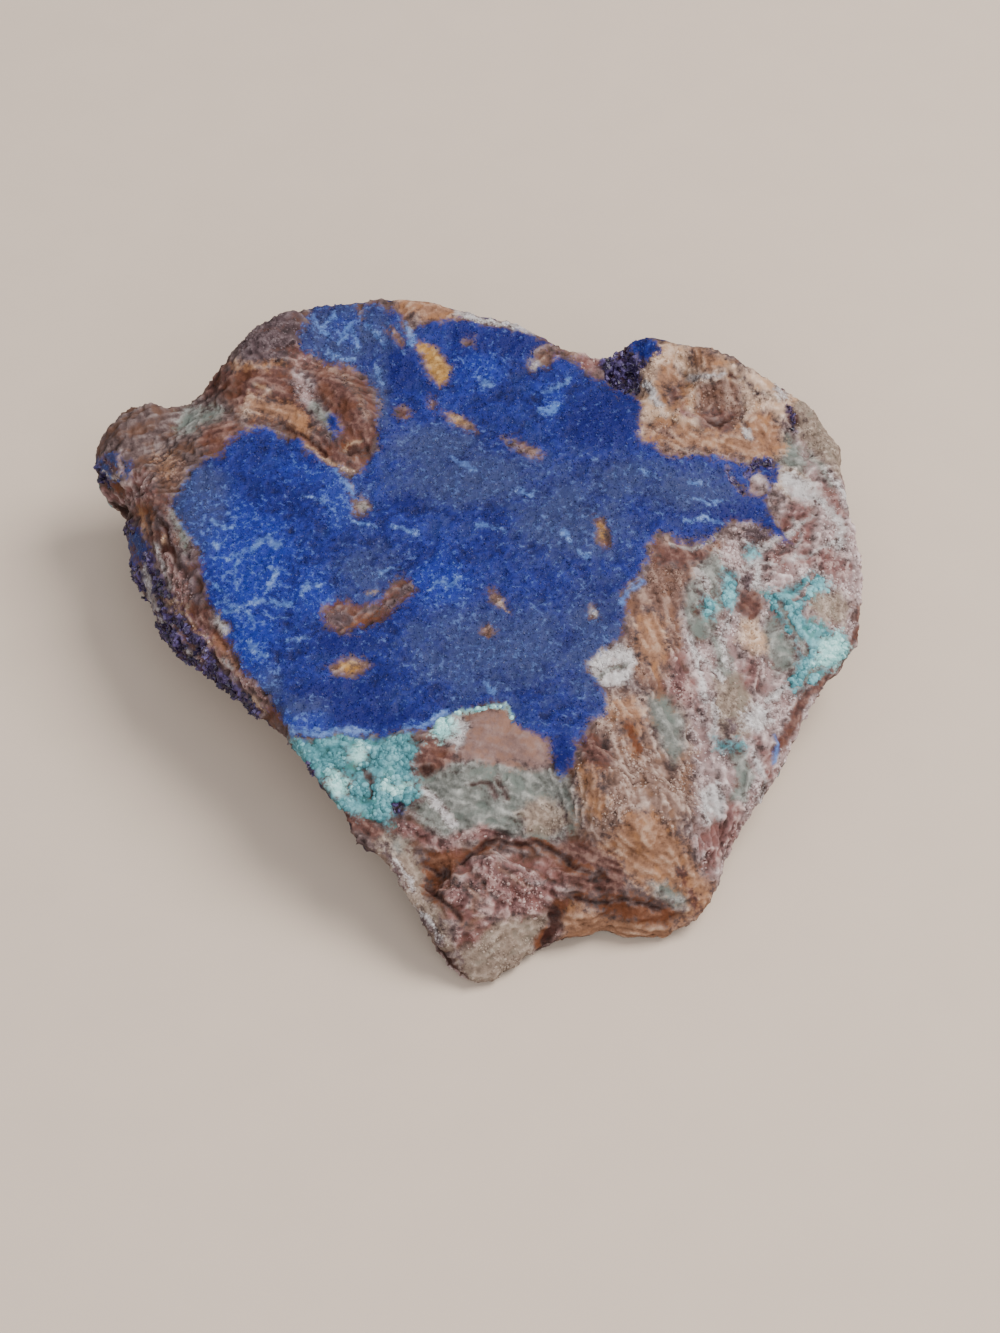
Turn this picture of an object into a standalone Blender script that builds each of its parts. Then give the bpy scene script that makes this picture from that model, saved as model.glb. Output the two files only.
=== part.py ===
"""Azurite specimen: a hand-sized chunk of weathered copper ore, lying on its flat underside.

The stone is one solid. A nearly flat face, where the azurite crust grew, covers most of its top. Planar
fractures fall away from that face to a ragged rim, mounds and pits break it up, and below the rim the
stone tucks in to the flat patch that it rests on.

All sizes below are in millimetres, with X to the right, Y to the back and Z up. The finished stone stands
on Z = 0, with the middle of its box over the origin.
"""

import math

import bmesh
import bpy
import numpy as np
from mathutils import Vector, noise

MM = 0.001

# Driving dimensions.
FACE_HEIGHT = 14.7  # of the azurite face over the origin
FACE_RISE = 0.145  # of that face towards the back, as a gradient
RIM_SLOPE = 1.4  # gradient at which the top climbs from the rim to the face
UNDERCUT_SLOPE = 0.78  # gradient at which the underside climbs to the rim
LEAST_THICKNESS = 1.2
VOXEL = 0.7  # grain of the solid while its surfaces are joined
TRIANGLES = 9000  # of the finished solid
SLICE = 0.3  # cut off the bottom, to leave one exactly flat resting face

# The rim, clockwise from the left tip. Each point is (x, y, height of its lower edge, of its upper edge).
RIM = (
    (-37.5, 22.8, 9.0, 11.4),
    (-36.3, 24.3, 9.0, 12.6),
    (-34.4, 25.8, 9.0, 13.8),
    (-31.3, 25.2, 8.5, 14.6),
    (-28.3, 25.1, 8.0, 15.6),
    (-26.3, 26.9, 7.5, 17.2),
    (-23.4, 28.9, 7.0, 19.6),
    (-22.2, 30.4, 6.5, 20.9),
    (-20.3, 31.5, 6.0, 21.8),
    (-17.1, 32.8, 6.0, 22.0),
    (-13.8, 33.0, 6.0, 21.5),
    (-10.5, 33.4, 6.0, 21.1),
    (-5.7, 33.1, 6.0, 20.6),
    (-1.9, 32.3, 6.0, 20.1),
    (3.8, 30.9, 6.0, 19.5),
    (8.0, 28.4, 6.8, 18.5),
    (10.3, 28.1, 7.0, 18.4),
    (14.1, 28.9, 7.0, 19.6),
    (19.7, 27.4, 7.0, 20.0),
    (23.9, 25.8, 7.5, 19.0),
    (28.5, 24.8, 8.0, 17.4),
    (31.2, 23.2, 8.0, 16.2),
    (32.5, 20.7, 8.0, 14.8),
    (33.0, 16.1, 8.3, 12.9),
    (33.9, 11.9, 8.3, 11.8),
    (34.3, 7.5, 7.8, 10.8),
    (34.1, 3.6, 7.5, 10.3),
    (33.2, 0.3, 7.3, 10.0),
    (31.2, -3.1, 7.0, 9.6),
    (29.0, -6.3, 6.5, 9.3),
    (26.8, -11.0, 6.0, 8.8),
    (24.9, -14.2, 5.0, 8.0),
    (22.9, -16.6, 4.0, 7.2),
    (20.7, -20.2, 3.0, 6.0),
    (19.6, -23.5, 2.0, 4.6),
    (19.0, -25.5, 0.8, 3.4),
    (17.6, -26.9, 0.0, 3.0),
    (13.2, -27.5, 0.0, 3.6),
    (9.7, -27.7, 0.0, 3.6),
    (6.2, -28.3, 0.0, 2.8),
    (4.6, -29.0, 0.0, 2.4),
    (1.3, -31.7, 0.0, 1.6),
    (-1.3, -32.8, 0.0, 1.4),
    (-3.0, -31.9, 1.0, 2.8),
    (-5.1, -30.0, 4.0, 5.4),
    (-7.5, -27.1, 6.5, 7.6),
    (-9.7, -24.4, 8.0, 9.0),
    (-12.8, -21.2, 9.5, 10.5),
    (-15.2, -17.8, 10.5, 11.4),
    (-17.3, -13.6, 10.8, 12.0),
    (-20.2, -10.2, 10.5, 12.1),
    (-22.7, -7.3, 9.8, 11.8),
    (-25.7, -3.8, 9.0, 11.6),
    (-28.2, -0.7, 8.5, 11.4),
    (-30.3, 3.3, 8.0, 11.4),
    (-32.5, 8.3, 8.0, 11.4),
    (-33.9, 12.8, 8.0, 11.6),
    (-33.3, 15.6, 8.0, 12.8),
    (-35.4, 17.7, 8.0, 12.4),
    (-36.7, 19.8, 8.5, 11.8),
)
CENTRE = (0.0, 2.0)  # every rim point can be seen from here in plan
RIM_STEPS = 4  # points of the smooth rim for each stretch above
RIM_RAGGED = ((2.4, 0.75), (1.1, 0.3))  # (size, height) of the teeth along the rim
RINGS = 48
RING_CROWDING = 0.85  # power below 1 that draws the rings towards the rim
SIDE_ROWS = 12  # rows of faces up the side, between the two edges of the rim
SIDE_BULGE = 0.5
SIDE_RELIEF = 1.5
SIDE_LUMP = (3.6, 3.6, 2.2)  # size of the side's lumps along each axis
SIDE_GRAIN = 1.5  # size of the smaller lumps on them
SIDE_FULL = 6.0  # height of a side that carries all of its bulge and relief
SIDE_FULLNESS = 0.7  # power below 1 that squares the side's bulge

# Fractures in the top, each (x, y, outward angle in plan, slope), both angles in degrees. The surface
# falls away beyond the line through (x, y) that faces the outward angle.
FRACTURES = (
    (13.0, 0.0, -19.5, 19.0),  # long shoulder to the right
    (25.0, 18.0, 35.0, 20.0),  # corner at the back right
    (0.0, -16.0, -92.0, 21.0),  # front slope
    (9.5, -17.0, -55.0, 22.0),  # chamfer between the front and the shoulder
    (-10.0, -16.0, -105.0, 20.0),  # malachite bevel
    (-24.0, 21.0, 146.0, 25.0),  # weathered margin at the back left
    (-26.0, 3.5, 203.0, 32.0),  # rusty border on the left
)
FRACTURE_ROUNDING = 0.5  # how far the surface softens where fractures meet

# Mounds and pits of the top, each (x, y, half length, half width, turn in degrees, height).
# Pits are negative.
FEATURES = (
    (-13.5, 20.5, 6.6, 4.6, -48.0, 1.7),  # rusty mound in the azurite
    (-22.0, 28.6, 6.2, 4.8, 30.0, 3.0),  # brown dome at the back left
    (-8.0, 35.0, 19.0, 10.0, -4.0, 1.7),  # back rim
    (21.5, 25.5, 10.5, 7.5, -20.0, 2.6),  # tan knob
    (15.6, 28.4, 3.2, 2.6, 0.0, 1.2),  # azurite knuckle beside it
    (-34.0, 22.4, 4.6, 3.6, 40.0, 1.2),  # left tip
    (-31.5, 9.5, 4.4, 2.0, -68.0, 0.9),  # lobe over the left wall
    (29.5, 9.0, 12.0, 6.0, 78.0, 1.2),  # right shoulder
    (15.0, -5.5, 13.0, 3.0, 72.0, 0.6),  # rusty seam between the face and the shoulder
    (-0.3, -27.4, 6.6, 3.8, 12.0, 2.0),  # front left lump
    (14.0, -21.0, 7.5, 4.2, -38.0, 2.2),  # fibrous front right lump
    (9.0, -19.5, 4.8, 3.2, -60.0, 1.4),  # its upper end
    (3.0, -14.2, 6.5, 3.2, -8.0, 0.5),  # smooth flake above the front slope
    (12.8, 24.8, 3.2, 2.0, -50.0, -3.4),  # cavity behind the azurite rim
    (17.2, 24.6, 2.3, 1.7, -60.0, -1.9),  # first hollow of the knob
    (21.8, 21.6, 3.0, 2.0, 10.0, -2.3),  # second hollow of the knob
    (26.5, 20.0, 2.2, 1.5, 40.0, -1.3),  # third hollow of the knob
    (24.3, 24.0, 1.4, 1.2, 0.0, -1.4),  # nick in its rim
    (-15.6, 21.2, 4.0, 1.8, -55.0, -1.0),  # hollow of the rusty mound
    (-12.2, 17.2, 1.5, 1.2, 0.0, -1.9),  # its pit
    (-12.6, -1.4, 3.6, 2.0, 10.0, -0.6),  # brown island, near lobe
    (-8.6, 0.9, 2.6, 1.6, 25.0, -0.6),  # its far lobe
    (-12.6, -7.2, 2.8, 1.5, 5.0, -0.5),  # small brown island
    (-8.0, -11.8, 8.5, 2.6, -10.0, -0.8),  # shaded hollow in the azurite
    (-33.8, 15.6, 2.2, 1.0, 12.0, -2.6),  # crevice in the left wall
    (-5.6, -18.0, 2.0, 1.4, -20.0, -1.5),  # pit beside the malachite
    (-5.6, -24.8, 2.6, 1.8, -50.0, -1.8),  # rusty hollow on the front left
    (2.6, -23.5, 7.5, 1.2, -7.0, -1.6),  # crevice over the front left lump
    (12.0, -25.4, 5.5, 1.0, -4.0, -1.2),  # crevice over the front right ledge
    (5.3, -28.0, 1.4, 3.2, 8.0, -2.6),  # notch between the front lumps
    (29.6, 20.0, 1.6, 1.2, -30.0, -1.4),  # dark hole on the back right
    (24.6, -6.0, 7.0, 1.3, 60.0, -0.7),  # groove down the shoulder
)
FEATURE_WARP = ((3.2, 1.3), (1.5, 0.6))  # (size, amount) by which their outlines wander

# Roughness of broken stone: (size, height) of its rounded lumps and (size, tilt, step) of its chips.
LUMPS = ((8.0, 0.7), (3.2, 0.35), (1.6, 0.25))
CHIPS = ((5.5, 0.34, 0.7), (2.6, 0.42, 0.5))
CHIP_SHUFFLE = 97.0  # sets the tilts of neighbouring chips apart
FACE_GRAIN = 0.16  # share of that roughness on the azurite face
FACE_MARGIN = 1.5  # depth of a fracture at which the stone is fully rough
FACE_FEATURE = 0.8  # height of a mound or pit at which it starts to be rough
BASE_MARGIN = 1.5  # height over the ground at which the underside is fully rough
FLAT_CENTRE = (0.0, -2.0)  # of the patch on the underside that stays flat
FLAT_RADIUS = 11.0
BASE_HOLLOWS = 1.9


def clear_scene():
    """Remove what the scene holds."""
    for obj in list(bpy.data.objects):
        bpy.data.objects.remove(obj)


def smooth_rim():
    """The rim as a closed Catmull-Rom curve with ragged teeth, an array like RIM."""
    knots = np.array(RIM)
    before, after, last = np.roll(knots, 1, 0), np.roll(knots, -1, 0), np.roll(knots, -2, 0)
    stretches = []
    for step in range(RIM_STEPS):
        t = step / RIM_STEPS
        linear = (after - before) * t
        square = (2 * before - 5 * knots + 4 * after - last) * t**2
        cube = (3 * knots - before - 3 * after + last) * t**3
        stretches.append(0.5 * (2 * knots + linear + square + cube))
    rim = np.stack(stretches, axis=1).reshape(-1, 4)
    arms = rim[:, :2] - CENTRE
    arms /= np.linalg.norm(arms, axis=1)[:, None]
    rim[:, :2] += arms * lumps(rim[:, :2], RIM_RAGGED, level=31.0)[:, None]
    return rim


def smooth_max(first, second):
    """The larger of two arrays, rounded where they cross."""
    return 0.5 * (first + second + np.sqrt((first - second) ** 2 + FRACTURE_ROUNDING**2))


def lumps(points, layers, level):
    """Rounded relief at plan points, as the sum of (size, height) layers. Levels differ in pattern."""
    relief = np.zeros(len(points))
    for size, height in layers:
        for index, (x, y) in enumerate(points):
            relief[index] += height * noise.noise(Vector((x / size, y / size, level)))
    return relief


def chips(points, level):
    """Relief of small tilted facets with steps between them, at plan points."""
    relief = np.zeros(len(points))
    for size, tilt, step in CHIPS:
        for index, (x, y) in enumerate(points):
            place = Vector((x / size, y / size, level))
            seed = noise.voronoi(place)[1][0]
            turn = noise.cell_vector(seed * CHIP_SHUFFLE) - Vector((0.5, 0.5, 0.5))
            offset = place - seed
            relief[index] += size * tilt * (turn.x * offset.x + turn.y * offset.y) + step * turn.z
    return relief


def warped(points, level):
    """Plan points shifted by noise, so that what is laid out on them gets a ragged outline."""
    return points + np.stack([lumps(points, FEATURE_WARP, level + k) for k in (0.0, 5.0)], axis=1)


def fracture_depth(points):
    """How far the deepest fracture reaches below the face at each plan point."""
    depth = np.zeros(len(points))
    for x, y, outward, slope in FRACTURES:
        turn = math.radians(outward)
        beyond = (points[:, 0] - x) * math.cos(turn) + (points[:, 1] - y) * math.sin(turn)
        depth = smooth_max(depth, beyond * math.tan(math.radians(slope)))
    return depth


def feature_height(points):
    """The summed height of mounds and pits at each plan point."""
    height = np.zeros(len(points))
    for x, y, half_length, half_width, turn, rise in FEATURES:
        angle = math.radians(turn)
        offset = points - (x, y)
        along = (offset[:, 0] * math.cos(angle) + offset[:, 1] * math.sin(angle)) / half_length
        across = (offset[:, 1] * math.cos(angle) - offset[:, 0] * math.sin(angle)) / half_width
        height += rise * np.clip(1 - along**2 - across**2, 0, None)
    return height


def top_surface(points, limit):
    """Height of the upper surface, whose form stays under a limit while its roughness does not."""
    broken = warped(points, level=50.0)
    depth = fracture_depth(0.5 * (points + broken))
    features = feature_height(broken)
    whole = FACE_HEIGHT + FACE_RISE * points[:, 1] - depth + features
    form = np.minimum(whole, limit)
    cut = (depth + whole - form) / FACE_MARGIN + np.clip(np.abs(features) - FACE_FEATURE, 0, 1)
    relief = lumps(points, LUMPS, level=3.0) + chips(broken, level=9.0)
    return form + np.clip(FACE_GRAIN + cut, 0, 1) * relief


def base_surface(points, form):
    """Height of the underside, rough where its form rises and hollowed away from its flat patch."""
    relief = lumps(points, LUMPS, level=17.0) + chips(points, level=23.0)
    from_flat = np.hypot(*(warped(points, level=70.0) - FLAT_CENTRE).T) / FLAT_RADIUS
    risen = np.clip(form / BASE_MARGIN, 0, 1)
    hollow = BASE_HOLLOWS * np.abs(relief) * np.clip(from_flat - 1, 0, 1) * (1 - risen)
    return np.clip(form + risen * relief + hollow, 0, None)


def side_point(edge, up):
    """A point on the side of the stone, a share of the way up from the lower edge of the rim."""
    x, y, low, high = edge
    z = low + (high - low) * up
    tall = min((high - low) / SIDE_FULL, 1)
    place = Vector((x, y, z))
    wander = noise.noise(Vector(a / b for a, b in zip(place, SIDE_LUMP)))
    wander += 0.5 * noise.noise(place / SIDE_GRAIN)
    push = tall * (SIDE_BULGE + SIDE_RELIEF * wander) * math.sin(math.pi * up) ** SIDE_FULLNESS
    arm = Vector((x - CENTRE[0], y - CENTRE[1])).normalized()
    return (x + arm.x * push, y + arm.y * push, z)


def stone_shell():
    """Points and faces of the closed shell: top, underside and the side between them."""
    rim = smooth_rim()
    count = len(rim)
    share = np.linspace(0, 1, RINGS + 1)[1:] ** RING_CROWDING
    arms = rim[:, :2] - CENTRE
    plan = np.array(CENTRE) + arms[None] * share[:, None, None]
    inward = np.linalg.norm(arms, axis=1)[None] * (1 - share[:, None])
    flat = plan.reshape(-1, 2)

    undercut = np.clip(rim[:, 2] - UNDERCUT_SLOPE * inward, 0, None)
    base = base_surface(flat, undercut.ravel()).reshape(RINGS, count)
    top = top_surface(flat, (rim[:, 3] + RIM_SLOPE * inward).ravel()).reshape(RINGS, count)
    top = np.maximum(top, base + LEAST_THICKNESS)

    points, faces = [], []

    def add_ring(ring):
        points.extend(ring)
        return range(len(points) - count, len(points))

    def join(inner, outer):
        for j in range(count):
            k = (j + 1) % count
            faces.append((inner[j], inner[k], outer[k], outer[j]))

    def add_cap(ring, tip):
        points.append(tip)
        for j in range(count):
            faces.append((len(points) - 1, ring[j], ring[(j + 1) % count]))

    edges = np.column_stack([rim[:, :2], base[-1], top[-1]])
    rings = [add_ring(zip(*plan[k].T, base[k])) for k in range(RINGS)]
    rings += [add_ring(side_point(edge, row / SIDE_ROWS) for edge in edges) for row in range(1, SIDE_ROWS)]
    rings += [add_ring(zip(*plan[k].T, top[k])) for k in reversed(range(RINGS))]
    for inner, outer in zip(rings, rings[1:]):
        join(inner, outer)
    add_cap(rings[0], (*CENTRE, 0.0))
    add_cap(rings[-1][::-1], (*CENTRE, float(top[0].mean())))
    return points, faces


def apply_modifier(stone, kind, **settings):
    """Replace the stone's mesh by itself with one modifier applied."""
    modifier = stone.modifiers.new(kind, kind)
    for name, value in settings.items():
        setattr(modifier, name, value)
    graph = bpy.context.evaluated_depsgraph_get()
    mesh = bpy.data.meshes.new_from_object(stone.evaluated_get(graph), depsgraph=graph)
    stone.modifiers.remove(modifier)
    stone.data = mesh
    mesh.calc_loop_triangles()


def slice_flat(stone):
    """Cut the bottom off the stone, set it down on the cut and centre its box on the origin."""
    shell = bmesh.new()
    shell.from_mesh(stone.data)
    cut = bmesh.ops.bisect_plane(
        shell,
        geom=shell.verts[:] + shell.edges[:] + shell.faces[:],
        plane_co=(0, 0, SLICE * MM),
        plane_no=(0, 0, -1),
        clear_outer=True,
    )
    rim_edges = [part for part in cut["geom_cut"] if isinstance(part, bmesh.types.BMEdge)]
    bmesh.ops.triangle_fill(shell, edges=rim_edges, use_beauty=True)
    bmesh.ops.triangulate(shell, faces=shell.faces[:])
    bmesh.ops.recalc_face_normals(shell, faces=shell.faces[:])
    plan = np.array([vert.co.xy for vert in shell.verts])
    middle = 0.5 * (plan.min(axis=0) + plan.max(axis=0))
    bmesh.ops.translate(shell, verts=shell.verts[:], vec=(-middle[0], -middle[1], -SLICE * MM))
    shell.to_mesh(stone.data)
    shell.free()


def azurite_material():
    """The azurite crust's deep blue, dull as a fine druse is."""
    material = bpy.data.materials.new("azurite")
    material.use_nodes = True
    shader = material.node_tree.nodes["Principled BSDF"]
    shader.inputs["Base Color"].default_value = (0.045, 0.09, 0.36, 1)
    shader.inputs["Roughness"].default_value = 0.55
    shader.inputs["Metallic"].default_value = 0.0
    return material


def build_stone():
    """The whole specimen as one object."""
    points, faces = stone_shell()
    mesh = bpy.data.meshes.new("azurite_specimen")
    mesh.from_pydata([[float(value) * MM for value in point] for point in points], [], faces)
    stone = bpy.data.objects.new("azurite_specimen", mesh)
    bpy.context.scene.collection.objects.link(stone)
    apply_modifier(stone, "REMESH", mode="VOXEL", voxel_size=VOXEL * MM)
    apply_modifier(stone, "DECIMATE", ratio=TRIANGLES / len(stone.data.loop_triangles))
    slice_flat(stone)
    stone.data.materials.clear()
    stone.data.materials.append(azurite_material())


clear_scene()
build_stone()
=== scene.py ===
"""Looks of an azurite specimen: a blue crust, malachite and rusty matrix grown together as one stone.

The stone's fine surface replaces the plain solid. Its minerals are laid out as patches in the camera's
frame, so that each one lies where it is seen, and the sides that the camera can't see get their own mix.
Crystals, spherules and grains stand on that surface as joined meshes.
"""

import logging
import math
from dataclasses import dataclass
from enum import Enum

import bmesh
import bpy
import numpy as np
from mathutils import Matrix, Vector, noise


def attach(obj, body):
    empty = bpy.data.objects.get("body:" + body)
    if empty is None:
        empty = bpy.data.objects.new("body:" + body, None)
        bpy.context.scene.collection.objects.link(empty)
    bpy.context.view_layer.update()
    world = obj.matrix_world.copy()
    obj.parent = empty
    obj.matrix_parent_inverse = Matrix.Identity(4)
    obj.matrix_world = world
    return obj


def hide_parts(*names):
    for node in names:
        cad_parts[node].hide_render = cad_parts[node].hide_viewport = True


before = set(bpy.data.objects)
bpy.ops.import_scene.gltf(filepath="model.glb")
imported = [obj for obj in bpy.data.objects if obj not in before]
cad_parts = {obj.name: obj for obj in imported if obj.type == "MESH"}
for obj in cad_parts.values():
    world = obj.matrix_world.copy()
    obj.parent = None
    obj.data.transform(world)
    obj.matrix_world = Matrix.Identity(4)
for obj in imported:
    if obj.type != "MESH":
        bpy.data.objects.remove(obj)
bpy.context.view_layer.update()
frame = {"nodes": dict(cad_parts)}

LOG = logging.getLogger("azurite_specimen")
MM = 0.001
NODE = "azurite_specimen"

# cosine between a face and the way to the camera below which the face counts as hidden
EDGE_ON = -0.05
# corners of the square of the camera's frame that the map of the seen parts covers, in pixels
CHART_LOW = np.array([85.0, 270.0])
CHART_HIGH = np.array([885.0, 1070.0])

Colour = tuple[float, float, float]
Pixel = tuple[float, float]


class Skin(Enum):
    """The minerals and crusts that can cover a place on the stone, besides its bare matrix."""

    BROWN = "brown"
    GRANULAR = "granular"
    GREEN_GREY = "green_grey"
    BEIGE = "beige"
    CREAM = "cream"
    CHALK = "chalk"
    FIBROUS = "fibrous"
    TAN = "tan"
    RUST = "rust"
    AMBER = "amber"
    EMBER = "ember"
    PEACH = "peach"
    ROSE = "rose"
    AZURITE = "azurite"
    MALACHITE = "malachite"
    MINT = "mint"
    OCHRE = "ochre"
    # light blue crystals, and painted highlights where the crust sparkles
    SKY = "sky"
    INDIGO = "indigo"
    # dark crust, and painted shade in crevices, hollows, pits and holes and along shadow lines
    DARK = "dark"


class Tone(Enum):
    """How the azurite crust varies from place to place; its deep tone is also painted shade in troughs of
    the face.
    """

    FROST = "frost"
    BRIGHT = "bright"
    DEEP = "deep"


# ---------------------------------------------------------------------------------------------------
# Where the minerals lie
# ---------------------------------------------------------------------------------------------------


@dataclass(frozen=True)
class Patch:
    """A mineral's outline in pixels of the camera's frame.

    Attributes:
        skin: the mineral.
        outline: corners of the patch, in order.
    """

    skin: Skin
    outline: tuple[Pixel, ...]

    def depth(self, places: np.ndarray) -> np.ndarray:
        """How far places lie inside the outline.

        Args:
            places: points in the frame, in pixels, one a row.

        Returns:
            Distance to the outline in pixels, negative outside it.
        """
        corners = np.array(self.outline, float)
        nearest = np.full(len(places), np.inf)
        inside = np.zeros(len(places), bool)
        for start, end in zip(corners, np.roll(corners, -1, axis=0)):
            nearest = np.minimum(nearest, distance_to_segment(places, start, end))
            if start[1] == end[1]:
                continue
            crosses = (places[:, 1] < start[1]) != (places[:, 1] < end[1])
            slope = (end[0] - start[0]) / (end[1] - start[1])
            inside ^= crosses & (places[:, 0] < start[0] + slope * (places[:, 1] - start[1]))
        return np.where(inside, nearest, -nearest)

    def reach(self) -> tuple[np.ndarray, np.ndarray]:
        """Lowest and highest corner of the box round the outline, in pixels."""
        corners = np.array(self.outline, float)
        return corners.min(axis=0), corners.max(axis=0)


@dataclass(frozen=True)
class Streak(Patch):
    """A mineral drawn as a line of even width, such as a crack or a lip.

    Attributes:
        width: of the line, in pixels.
    """

    width: float

    # how much faster a streak gains depth from its edge than a patch does
    FIRMNESS = 1.6

    def depth(self, places: np.ndarray) -> np.ndarray:
        """How far places lie inside the streak's edges.

        Args:
            places: points in the frame, in pixels, one a row.

        Returns:
            Distance to the edge in pixels, negative outside it.
        """
        corners = np.array(self.outline, float)
        nearest = np.full(len(places), np.inf)
        for start, end in zip(corners, corners[1:]):
            nearest = np.minimum(nearest, distance_to_segment(places, start, end))
        return self.FIRMNESS * (0.5 * self.width - nearest)


def distance_to_segment(places: np.ndarray, start: np.ndarray, end: np.ndarray) -> np.ndarray:
    """Distance from places to a straight segment.

    Args:
        places: points, one a row.
        start: first end of the segment.
        end: its other end.

    Returns:
        One distance for each place.
    """
    along = end - start
    share = np.clip((places - start) @ along / max(along @ along, 1e-9), 0, 1)
    return np.linalg.norm(places - start - share[:, None] * along, axis=1)


def laid_out(*rows: tuple) -> tuple[Patch, ...]:
    """Patches and streaks from short rows.

    Args:
        rows: a mineral, then its width if it is a streak, then the corners in pixels.

    Returns:
        The patches and streaks, in order.
    """
    made = []
    for skin, first, *corners in rows:
        if isinstance(first, tuple):
            made.append(Patch(skin, (first, *corners)))
        else:
            made.append(Streak(skin, tuple(corners), first))
    return tuple(made)


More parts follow.
